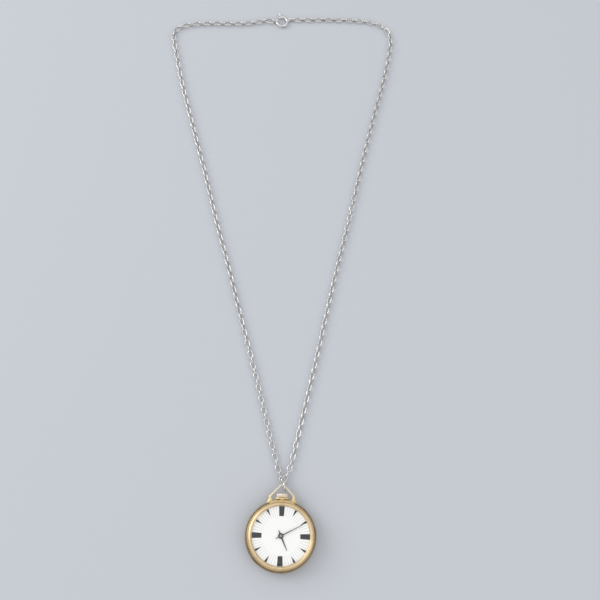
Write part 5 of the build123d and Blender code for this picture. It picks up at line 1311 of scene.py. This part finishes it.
    def build(self, case: WatchCase) -> None:
        """Builds the pendant on its case, the bow and the crown."""
        self.neck()
        self.collar()
        self.saddle(case)
        self.shoulders()
        self.bow()
        self.crown()


@dataclass(frozen=True)
class Hand:
    """The sizes of one hand, with the body that it rides on and the CAD node that it stands for."""

    name: str
    body: str
    node: str
    underside_z: float
    length: float
    width: float
    clockwise_from_12: float
    hub: float
    bore: float


@dataclass
class DialFace:
    """The dial with its applied markers, and the two hands at ten past five."""

    dial_top_z: float = 5.95
    marker_height: float = 0.1
    marker_round: float = 0.035
    block_radii: Corner = (7.6, 11.45)
    block_widths: Corner = (1.8, 2.16)
    dart_radii: Corner = (8.9, 11.4)
    dart_widths: Corner = (0.12, 1.05)
    hour_hand: Hand = Hand(
        "hour_hand_blade", "hour_hand_body", "hour_hand", 6.14, 6.0, 0.6, 155.3, 1.08, 0.73
    )
    minute_hand: Hand = Hand(
        "minute_hand_blade", "minute_hand_body", "minute_hand", 6.5, 9.6, 0.42, 62.0, 0.86, 0.51
    )
    tip_width: float = 0.2
    tail: float = 2.35
    thickness: float = 0.1
    hand_round: float = 0.03
    hub_overlap: float = 0.9
    hub_side: float = 0.6
    hub_slope: float = 0.07
    hub_steps: int = 48

    def plate(self, draft: Draft, outline: Profile, z: float, height: float) -> list[BMVert]:
        """Adds a flat plate of a given outline.

        Args:
            draft: the draft that gets it.
            outline: its corners in XY.
            z: its underside.
            height: its thickness.

        Returns:
            Its vertices.
        """
        corners = [draft.mesh.verts.new((x, y, z)) for x, y in outline]
        face = draft.mesh.faces.new(corners)
        top = only(BMVert, bmesh.ops.extrude_face_region(draft.mesh, geom=[face])["geom"])
        bmesh.ops.translate(draft.mesh, vec=(0, 0, height), verts=top)
        return corners + top

    def markers(self) -> None:
        """Builds the four blocks and eight darts with softened edges."""
        draft = Draft()
        blocks, darts = (self.block_radii, self.block_widths), (self.dart_radii, self.dart_widths)
        for hour in range(12):
            (inner, outer), (narrow, wide) = blocks if hour % 3 == 0 else darts
            outline = [(wide / 2, outer), (-wide / 2, outer), (-narrow / 2, inner), (narrow / 2, inner)]
            verts = self.plate(draft, outline, self.dial_top_z, self.marker_height)
            draft.place(Matrix.Rotation(-hour * FULL_TURN / 12, 4, "Z"), verts)
        bmesh.ops.recalc_face_normals(draft.mesh, faces=draft.mesh.faces)
        draft.soften(self.marker_round)
        markers = draft.finish("applied_markers", WATCH_BODY, MARKER_BLACK, Edge.FACETED)
        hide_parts("hour_markers")

    def shape(self, hand: Hand) -> None:
        """Builds a slim hand with a ring for its hub.

        Args:
            hand: its sizes.
        """
        draft = Draft()
        root, width, tip = hand.hub * self.hub_overlap, hand.width / 2, self.tip_width / 2
        z = hand.underside_z
        blade = [(-width, root), (width, root), (tip, hand.length), (-tip, hand.length)]
        tail = [(-tip, -self.tail), (tip, -self.tail), (width, -root), (-width, -root)]
        for outline in (blade, tail):
            self.plate(draft, outline, z, self.thickness)
        bmesh.ops.recalc_face_normals(draft.mesh, faces=draft.mesh.faces)
        draft.soften(self.hand_round)
        draft.lathe([
            (hand.bore, z), (hand.hub, z), (hand.hub, z + self.thickness * self.hub_side),
            (hand.hub - self.hub_slope, z + self.thickness), (hand.bore, z + self.thickness),
        ], self.hub_steps)
        draft.place(Matrix.Rotation(math.radians(-hand.clockwise_from_12), 4, "Z"))
        piece = draft.finish(hand.name, hand.body, HAND_BROWN, Edge.FACETED)
        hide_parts(hand.node)

    def build(self) -> None:
        """Builds the markers and hands."""
        self.markers()
        self.shape(self.hour_hand)
        self.shape(self.minute_hand)


# The chain


@dataclass
class JumpRing:
    """The round wire ring that stands through the bow and holds both strands."""

    centre: Point = (0.6, 19.9, 2.5)
    radius: float = 2.07
    wire: float = 0.65
    turn: float = 9.5
    steps: int = 64
    link_wire: float = 0.5
    link_play: float = 0.03

    def across(self) -> Vector:
        """The direction square to the ring."""
        return polar(1.0, self.turn)

    def along(self) -> Vector:
        """The level direction in the ring's plane."""
        return polar(1.0, self.turn + 90)

    def hook_start(self, hook_angle: float, target: Point) -> Vector:
        """Where a strand starts, so that its first link's wire lies just inside the ring.

        Args:
            hook_angle: where on the ring, in degrees from level towards up.
            target: the strand's next point.

        Returns:
            The strand's first point.
        """
        lift = math.radians(hook_angle)
        ring_out = self.along() * math.cos(lift) + UP * math.sin(lift)
        hooked = Vector(self.centre) + ring_out * self.radius
        run = (Vector(target) - hooked).normalized()
        lean = run.dot(self.across())
        grip = ring_out * math.sqrt(1 - lean * lean) + self.across() * lean
        reach = self.link_wire / 2 + self.link_play
        return hooked - grip * (self.wire / 2 + reach) + run * reach

    def build(self) -> None:
        """Bends the ring."""
        draft = Draft()
        start = Matrix.Translation((self.radius, 0, 0)) @ Matrix.Rotation(QUARTER_TURN, 4, "X")
        edges = draft.section(self.wire / 2, Roundness.FINE.value, start)
        draft.bend(edges, Vector((0, 0, 0)), UP, FULL_TURN, self.steps)
        draft.place(facing(self.across(), Vector(self.centre)))
        ring = draft.finish("bow_jump_ring", WATCH_BODY, SILVER_PLATE, Edge.ROUND)
        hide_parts("jump_ring")


@dataclass
class CableStrand:
    """One strand of oval links on the table, each a quarter turn from the one before."""

    name: str
    points: list[Vector]
    rolls: Sequence[Corner]
    nodes: tuple[str, ...]
    length: float
    pitch: float = 2.48
    inner_length: float = 2.54
    width: float = 2.2
    wire: float = 0.5
    bends: int = 5
    line: list[Vector] = field(default_factory=list)

    def trace(self) -> None:
        """Reads the smooth line of the strand from a NURBS curve through its route."""
        curve = bpy.data.curves.new(f"{self.name}_line", "CURVE")
        curve.dimensions = "3D"
        curve.resolution_u = 24
        spline = curve.splines.new("NURBS")
        spline.points.add(len(self.points) - 1)
        for control, point in zip(spline.points, self.points):
            control.co = (*point, 1.0)
        spline.order_u = 3
        spline.use_endpoint_u = True
        carrier = bpy.data.objects.new(f"{self.name}_line", curve)
        traced = bpy.data.meshes.new_from_object(carrier)
        self.line = [vert.co.copy() for vert in traced.vertices]
        bpy.data.meshes.remove(traced)
        bpy.data.objects.remove(carrier)
        bpy.data.curves.remove(curve)

    def joints(self) -> list[Vector]:
        """Places evenly spaced along the line, one where each link meets the next.

        Returns:
            The places, in millimetres.
        """
        steps = [(end - start).length for start, end in zip(self.line, self.line[1:])]
        total = sum(steps)
        count = 2 * round(total / (2 * self.pitch))
        places, index, passed = [], 0, 0.0
        for number in range(count + 1):
            reach = total * number / count
            while index < len(steps) - 1 and passed + steps[index] < reach:
                passed += steps[index]
                index += 1
            share = (reach - passed) / steps[index]
            places.append(self.line[index].lerp(self.line[index + 1], share))
        return places

    def roll_at(self, share: float) -> float:
        """How far the strand is rolled at a share of its length.

        Args:
            share: from 0 at the jump ring to 1 at the clasp.

        Returns:
            The roll, in radians.
        """
        for (start, low), (end, high) in zip(self.rolls, self.rolls[1:]):
            if share <= end:
                return math.radians(low + (high - low) * (share - start) / (end - start))
        return math.radians(self.rolls[-1][1])

    def build(self) -> Piece:
        """Bends one link and lays it along the strand.

        Returns:
            The strand.
        """
        self.trace()
        draft = Draft()
        opening = self.width - 2 * self.wire
        oval_wire(draft, self.inner_length, opening, self.wire, Roundness.CHAIN.value, self.bends)
        pattern = list(draft.mesh.verts) + list(draft.mesh.edges) + list(draft.mesh.faces)
        joints = self.joints()
        for number, (start, end) in enumerate(zip(joints, joints[1:])):
            run = (end - start).normalized()
            side = UP.cross(run).normalized()
            roll = self.roll_at(number / (len(joints) - 1)) + (number % 2) * QUARTER_TURN
            normal = run.cross(side) * math.cos(roll) + side * math.sin(roll)
            laid = bmesh.ops.duplicate(draft.mesh, geom=pattern)["geom"]
            draft.place(lying(run, normal, (start + end) / 2), only(BMVert, laid))
        bmesh.ops.delete(draft.mesh, geom=only(BMVert, pattern), context="VERTS")
        strand = draft.finish(self.name, WATCH_BODY, LINK_SILVER, Edge.ROUND)
        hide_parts(*self.nodes)
        return strand


@dataclass
class SpringRingClasp:
    """The spring ring with its eye and latch, and the two links that tie it to the left strand."""

    centre: Point = (-8.35, 237.9, 1.1)
    ring_radius: float = 2.42
    ring_steps: int = 128
    tube_radius: float = 0.55
    tube_wall: float = 0.18
    gap_start: float = 135.0
    gap_end: float = 175.0
    slot_start: float = 57.0
    slot_end: float = 108.0
    slot_half_width: float = 0.2
    eye_angle: float = 19.0
    eye_distance: float = 3.62
    eye_radius: float = 0.82
    eye_hole: float = 0.42
    eye_thickness: float = 0.4
    eye_play: float = 0.06
    # How far the eye's edges are cut back, along its face and down its side
    eye_outer_cut: Corner = (0.08, 0.1)
    eye_inner_cut: Corner = (0.06, 0.08)
    eye_steps: int = 48
    latch_radius: float = 0.32
    latch_start: float = 62.0
    latch_end: float = 178.5
    latch_steps: int = 32
    latch_round: float = 0.08
    knob_angle: float = 105.0
    knob_radius: float = 0.42
    knob_neck_radius: float = 0.15
    knob_start: float = 3.17
    knob_height: float = 1.55
    knob_dome: float = 0.28
    knob_dome_steps: int = 6
    knob_steps: int = 32
    hook_angle: float = 186.0
    run_angle: float = 174.83
    link_play: float = 0.03
    link_bends: int = 12
    clasp_link_inner_length: float = 2.62
    clasp_link_inner_width: float = 1.24
    clasp_link_wire: float = 0.45
    end_link_length: float = 4.1
    end_link_width: float = 2.57
    end_link_wire: float = 0.55

    def around(self, angle: float) -> Matrix:
        """A matrix that puts a section across the ring's tube at an angle in degrees."""
        turned = Matrix.Translation(Vector(self.centre)) @ Matrix.Rotation(math.radians(angle), 4, "Z")
        return turned @ Matrix.Translation((self.ring_radius, 0, 0)) @ Matrix.Rotation(QUARTER_TURN, 4, "X")

    def hook_place(self) -> Vector:
        """Where the small link lies on the ring."""
        return Vector(self.centre) + polar(self.ring_radius, self.hook_angle)

    def run(self) -> Vector:
        """The direction from the ring to the left strand."""
        return polar(1.0, self.run_angle)

    def eye_place(self) -> Vector:
        """The middle of the eye."""
        return Vector(self.centre) + polar(self.eye_distance, self.eye_angle)

    def link_ends(self) -> tuple[float, float, float, float]:
        """Where the openings of the small link and the end link start and end.

        Returns:
            Start and end of the small link's opening and of the end link's, from the ring.
        """
        clasp_start = -(self.tube_radius + self.link_play)
        clasp_end = clasp_start + self.clasp_link_inner_length
        end_start = clasp_end - 2 * self.link_play - self.end_link_wire
        inner = self.end_link_length - 2 * self.end_link_wire
        end_end = end_start + self.end_link_wire + inner
        return clasp_start, clasp_end, end_end - inner, end_end

    def left_finish(self) -> Vector:
        """Where the left strand's last link meets the end link."""
        return self.hook_place() + self.run() * (self.link_ends()[3] - self.link_play)

    def right_finish(self, last: Point) -> Vector:
        """Where the right strand's last link meets the eye, coming from its last route point."""
        way = (Vector(last) - self.eye_place()).normalized()
        return self.eye_place() + way * (self.eye_hole - self.eye_play + self.link_play)

    def in_slot(self, face: bmesh.types.BMFace) -> bool:
        """Says whether a face of the tube lies where the latch's slot is cut.

        Args:
            face: the face.

        Returns:
            Whether it is cut away.
        """
        offset = face.calc_center_median() - Vector(self.centre)
        turn = math.degrees(math.atan2(offset.y, offset.x))
        outward = offset.xy.length > self.ring_radius and abs(offset.z) < self.slot_half_width
        return outward and self.slot_start < turn < self.slot_end

    def ring(self) -> Piece:
        """Bends the hollow ring, opens its gap and the latch's slot, and adds the eye.

        Returns:
            The ring.
        """
        draft = Draft()
        edges = draft.section(self.tube_radius, Roundness.TUBE.value, self.around(self.gap_end))
        span = math.radians(self.gap_start + 360 - self.gap_end)
        draft.bend(edges, Vector(self.centre), UP, span, self.ring_steps)
        slot = [face for face in draft.mesh.faces if self.in_slot(face)]
        bmesh.ops.delete(draft.mesh, geom=slot, context="FACES")
        bmesh.ops.recalc_face_normals(draft.mesh, faces=draft.mesh.faces)
        bmesh.ops.solidify(draft.mesh, geom=draft.mesh.faces[:], thickness=self.tube_wall)
        half, outer, hole = self.eye_thickness / 2, self.eye_radius, self.eye_hole
        (outer_in, outer_down), (inner_in, inner_down) = self.eye_outer_cut, self.eye_inner_cut
        eye = draft.lathe([
            (hole + inner_in, -half), (outer - outer_in, -half), (outer, -half + outer_down),
            (outer, half - outer_down), (outer - outer_in, half), (hole + inner_in, half),
            (hole, half - inner_down), (hole, -half + inner_down),
        ], self.eye_steps)
        draft.place(Matrix.Translation(self.eye_place()), eye)
        ring = draft.finish("spring_ring_body", WATCH_BODY, SILVER_PLATE)
        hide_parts("spring_ring")
        return ring

    def latch(self) -> Piece:
        """Bends the latch's rod and adds its thumb knob.

        Returns:
            The latch.
        """
        draft = Draft()
        edges = draft.section(self.latch_radius, Roundness.ROD.value, self.around(self.latch_start))
        span = math.radians(self.latch_end - self.latch_start)
        draft.cap(edges, draft.bend(edges, Vector(self.centre), UP, span, self.latch_steps))
        draft.soften(self.latch_round, past=60.0)
        top, neck = self.knob_start + self.knob_height, self.knob_neck_radius
        profile = [
            (0.0, self.ring_radius), (neck, self.ring_radius), (neck, self.knob_start),
            (self.knob_radius, self.knob_start), (self.knob_radius, top - self.knob_dome),
        ]
        profile += tangent_arc(profile[-1], (0.0, top), UPWARD, self.knob_dome_steps)
        knob = draft.lathe(profile, self.knob_steps)
        draft.place(facing(polar(1.0, self.knob_angle), Vector(self.centre)), knob)
        latch = draft.finish("spring_ring_latch", "latch", SILVER_PLATE)
        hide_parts("clasp_latch")
        return latch

    def link(
        self, name: str, inner_length: float, inner_width: float, wire: float, ends: Corner, normal: Vector
    ) -> Piece:
        """Bends an oval link that lies along the run from the ring to the left strand.

        Args:
            name: the piece's name.
            inner_length: length of its opening.
            inner_width: width of its opening.
            wire: its wire's diameter.
            ends: where its opening starts and ends, from the ring.
            normal: the direction square to it.

        Returns:
            The link.
        """
        draft = Draft()
        oval_wire(draft, inner_length, inner_width, wire, Roundness.FINE.value, self.link_bends)
        middle = self.hook_place() + self.run() * (ends[0] + ends[1]) / 2
        draft.place(lying(self.run(), normal, middle))
        return draft.finish(name, WATCH_BODY, LINK_SILVER, Edge.ROUND)

    def small_link(self) -> Piece:
        """Bends the small link that stands between the ring and the end link.

        Returns:
            The link.
        """
        link = self.link(
            "clasp_small_link", self.clasp_link_inner_length, self.clasp_link_inner_width,
            self.clasp_link_wire, self.link_ends()[:2], self.run().cross(UP),
        )
        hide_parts("clasp_link")
        return link

    def large_link(self) -> Piece:
        """Bends the larger flat link at the end of the left strand.

        Returns:
            The link.
        """
        wires = 2 * self.end_link_wire
        link = self.link(
            "strand_end_link", self.end_link_length - wires, self.end_link_width - wires,
            self.end_link_wire, self.link_ends()[2:], UP,
        )
        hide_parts("end_link")
        return link

    def build(self) -> list[Any]:
        """Builds the clasp and its links.

        Returns:
            The pieces that go with the left strand.
        """
        return [self.ring(), self.latch(), self.small_link(), self.large_link(), "clasp_spring"]


@dataclass
class NeckChain:
    """The two strands, from the jump ring round to the clasp."""

    jump_ring: JumpRing
    clasp: SpringRingClasp
    left_hook: float = -50.0
    right_hook: float = 0.0
    left_length: float = 262.0
    right_length: float = 267.0
    left_route: Sequence[Point] = (
        (-1.1, 23.2, 1.15), (-3.3, 30.8, 1.1), (-8.8, 50.2, 1.1), (-14.3, 70.1, 1.1), (-20.6, 90.6, 1.1),
        (-26.5, 111.8, 1.1), (-33.4, 133.4, 1.1), (-39.6, 156.1, 1.1), (-46.7, 179.2, 1.1),
        (-53.9, 203.4, 1.1), (-57.4, 218.3, 1.1), (-59.4, 226.9, 1.1), (-57.9, 231.2, 1.1),
        (-52.6, 233.5, 1.1), (-43.4, 234.7, 1.1), (-30.0, 235.3, 1.1), (-21.3, 236.4, 1.1),
    )
    right_route: Sequence[Point] = (
        (1.8, 23.6, 1.8), (3.9, 31.3, 1.1), (7.9, 51.1, 1.1), (12.1, 71.5, 1.1), (16.1, 92.6, 1.1),
        (20.3, 114.6, 1.1), (25.3, 137.0, 1.1), (29.7, 160.5, 1.1), (34.9, 184.7, 1.1),
        (40.4, 207.6, 1.1), (42.4, 218.3, 1.1), (44.2, 230.4, 1.1), (42.6, 236.3, 1.1),
        (36.9, 240.0, 1.1), (26.6, 240.9, 1.1), (11.0, 240.4, 1.1), (3.6, 239.7, 1.1),
    )
    # How the links are rolled: a share of the strand's length, and degrees there
    left_rolls: Sequence[Corner] = (
        (0.0, 0.0), (0.2, 4.0), (0.3, 45.0), (0.62, 45.0), (0.78, 20.0), (1.0, 0.0),
    )
    right_rolls: Sequence[Corner] = (
        (0.0, 0.0), (0.12, 45.0), (0.38, 42.0), (0.45, 4.0), (0.55, 45.0), (0.8, 40.0), (1.0, 0.0),
    )

    def route(self, hook_angle: float, points: Sequence[Point], finish: Vector) -> list[Vector]:
        """The whole route of a strand.

        Args:
            hook_angle: where on the jump ring it starts, in degrees from level towards up.
            points: the points that it passes on the table.
            finish: where it ends at the clasp.

        Returns:
            The points from the jump ring to the clasp.
        """
        start = self.jump_ring.hook_start(hook_angle, points[0])
        return [start, *(Vector(point) for point in points), finish]

    def build(self) -> None:
        self.jump_ring.build()
        on_left = self.clasp.build()
        left = CableStrand(
            "left_strand", self.route(self.left_hook, self.left_route, self.clasp.left_finish()),
            self.left_rolls, ("left_chain_lower", "left_chain_upper"), self.left_length,
        )
        right_end = self.clasp.right_finish(self.right_route[-1])
        right = CableStrand(
            "right_strand", self.route(self.right_hook, self.right_route, right_end),
            self.right_rolls, ("right_chain_lower", "right_chain_upper"), self.right_length,
        )
        left.build()
        right.build()


# The pieces inside the watch


@dataclass
class CarriedPieces:
    """The CAD nodes that stay as they are and get a better finish."""

    nodes: dict[str, Piece]
    dressed: dict[str, Finish] = field(default_factory=lambda: {
        **dict.fromkeys(
            ("main_plate", "barrel_bridge", "train_bridge", "balance_cock", "pallet_bridge"), STRIPED_NICKEL
        ),
        **dict.fromkeys((
            "centre_wheel", "third_wheel", "fourth_wheel", "hour_wheel", "minute_wheel", "balance_wheel",
            "barrel_drum", "barrel_cover", "pendant_tube",
        ), GILT_BRASS),
        **dict.fromkeys((
            "winding_stem", "winding_pinion", "sliding_pinion", "setting_lever", "yoke", "setting_wheel",
            "cannon_pinion", "escape_wheel", "pallet_fork", "barrel_arbor", "ratchet_wheel", "ratchet_screw",
            "crown_wheel", "crown_wheel_screw", "click", "bridge_screws", "small_screws", "dial_screws",
            "regulator",
        ), POLISHED_STEEL),
        **dict.fromkeys(("mainspring", "hairspring", "clasp_spring"), BLUED_STEEL),
        **dict.fromkeys(("jewels", "pallet_stones"), RUBY_RED),
        "crown_gasket": GASKET_BLACK,
        "movement_ring": TURNED_ALUMINIUM,
        "dial": DIAL_WHITE,
    })

    def build(self) -> None:
        """Gives each carried node its finish."""
        for name, finish in self.dressed.items():
            slots = self.nodes[name].data.materials
            slots.clear()
            slots.append(finish.material())
            log.info("%s: %s", name, finish.name)


@dataclass
class ClickSpring:
    """The bent wire that presses the click on the ratchet, with its far end lying on the click."""

    corners: Sequence[Point] = (
        (-7.87, 7.1, 2.2), (-7.87, 7.1, 1.93), (-5.57, 7.73, 1.93), (-4.72, 6.66, 1.93),
    )
    rounds: Sequence[float] = (0.0, 0.1, 0.4, 0.0)
    wire_radius: float = 0.08

    def build(self) -> None:
        """Bends the spring."""
        draft = Draft()
        draft.wire(self.corners, self.rounds, self.wire_radius)
        spring = draft.finish("click_spring_wire", WATCH_BODY, BLUED_STEEL, Edge.ROUND)
        spring.parent = None
        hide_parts("click_spring")
        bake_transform(spring)


# The studio


@dataclass(frozen=True)
class Lamp:
    """A square soft lamp: its name, where it hangs, its side and its power in watts."""

    name: str
    place: Point
    side: float
    power: float


@dataclass
class Studio:
    """The pale table, the soft lamps and the camera at the photograph's place."""

    camera_place: Point = (-10.04, -16.56, 373.15)
    pitch: float = 0.304
    roll: float = -0.1654
    object_turn: float = math.radians(7.24)
    focal_pixels: float = 902.0
    frame_pixels: float = 600.0
    sensor: float = 36.0
    nearest: float = 1.0
    farthest: float = 10000.0
    table_size: float = 3000.0
    table_drop: float = 0.02
    lamps: tuple[Lamp, ...] = (
        Lamp("window_lamp", (-1000, 430, 700), 750, 5.2),
        Lamp("fill_lamp", (620, -260, 520), 500, 0.55),
    )
    lamp_aim: Point = (0, 110, 0)
    wall_light: float = 0.12
    ceiling_light: float = 0.9
    ceiling_edge: float = 0.5

    def to_object(self, way: Vector) -> Vector:
        """Turns a direction from the photograph's level axes to the object's."""
        return Matrix.Rotation(-self.object_turn, 3, "Z") @ way

    def camera(self) -> None:
        """Places the camera, which looks down at the table with its own tilt and roll."""
        forward = Vector((0, math.sin(self.pitch), -math.cos(self.pitch)))
        level, tilt = math.cos(self.roll), -math.sin(self.roll)
        right = Vector((level, tilt * math.cos(self.pitch), tilt * math.sin(self.pitch)))
        up = right.cross(forward)
        axes = Matrix([self.to_object(way) for way in (right, up, -forward)]).transposed()
        data = bpy.data.cameras.new("photograph_camera")
        data.sensor_width = self.sensor
        data.lens = self.focal_pixels / self.frame_pixels * self.sensor
        data.clip_start, data.clip_end = self.nearest * MM, self.farthest * MM
        camera = bpy.data.objects.new("photograph_camera", data)
        camera.matrix_world = Matrix.Translation(Vector(self.camera_place) * MM) @ axes.to_4x4()
        bpy.context.scene.collection.objects.link(camera)
        bpy.context.scene.camera = camera

    def table(self) -> None:
        """Lays the pale table under the watch."""
        draft = bmesh.new()
        bmesh.ops.create_grid(draft, x_segments=1, y_segments=1, size=self.table_size / 2 * MM)
        bmesh.ops.translate(draft, vec=(0, 0, -self.table_drop * MM), verts=draft.verts)
        data = bpy.data.meshes.new("studio_table")
        draft.to_mesh(data)
        draft.free()
        data.materials.append(TABLE_PAPER.material())
        table = bpy.data.objects.new("studio_table", data)
        bpy.context.scene.collection.objects.link(table)

    def hang(self, lamp: Lamp) -> None:
        """Hangs a lamp so that it faces the watch and its chain.

        Args:
            lamp: the lamp.
        """
        data = bpy.data.lights.new(lamp.name, "AREA")
        data.shape, data.size, data.energy = "SQUARE", lamp.side * MM, lamp.power
        light = bpy.data.objects.new(lamp.name, data)
        light.location = Vector(lamp.place) * MM
        aim = Vector(self.lamp_aim) - Vector(lamp.place)
        light.rotation_euler = aim.to_track_quat("-Z", "Y").to_euler()
        bpy.context.scene.collection.objects.link(light)

    def sky(self) -> None:
        """Fills the room with soft light, bright overhead and dim towards the walls."""
        world = bpy.data.worlds.new("studio_room")
        world.use_nodes = True
        tree = world.node_tree
        tree.nodes.clear()
        way = add_node(tree, "ShaderNodeTexCoord").outputs["Generated"]
        height = add_node(tree, "ShaderNodeSeparateXYZ", links={"Vector": way}).outputs["Z"]
        level = add_node(
            tree, "ShaderNodeMapRange",
            {"From Max": self.ceiling_edge, "To Min": self.wall_light, "To Max": self.ceiling_light},
            {"Value": height},
        )
        glow = add_node(
            tree, "ShaderNodeBackground", {"Color": linear("FFFFFF")}, {"Strength": level.outputs["Result"]}
        )
        # What the camera sees past the table's edge is as pale as the table
        pale = add_node(tree, "ShaderNodeBackground", {"Color": linear(TABLE_PAPER.colour)})
        path = add_node(tree, "ShaderNodeLightPath")
        seen = add_node(
            tree, "ShaderNodeMath", operation="MAXIMUM",
            links={0: path.outputs["Is Camera Ray"], 1: path.outputs["Is Transmission Ray"]},
        )
        room = add_node(
            tree, "ShaderNodeMixShader",
            links={0: seen.outputs["Value"], 1: glow.outputs["Background"], 2: pale.outputs["Background"]},
        )
        add_node(tree, "ShaderNodeOutputWorld", links={"Surface": room.outputs["Shader"]})
        bpy.context.scene.world = world

    def build(self) -> None:
        """Builds the studio."""
        self.camera()
        self.table()
        for lamp in self.lamps:
            self.hang(lamp)
        self.sky()
        bpy.context.scene.view_settings.view_transform = "Standard"


def main() -> None:
    """Loads the frame and builds every piece on it."""
    logging.basicConfig(level=logging.INFO, format="%(name)s: %(message)s")
    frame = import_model()
    CarriedPieces(frame["nodes"]).build()
    case = WatchCase()
    case.build()
    Pendant().build(case)
    DialFace().build()
    NeckChain(JumpRing(), SpringRingClasp()).build()
    ClickSpring().build()
    Studio().build()


if __name__ == "__main__":
    main()
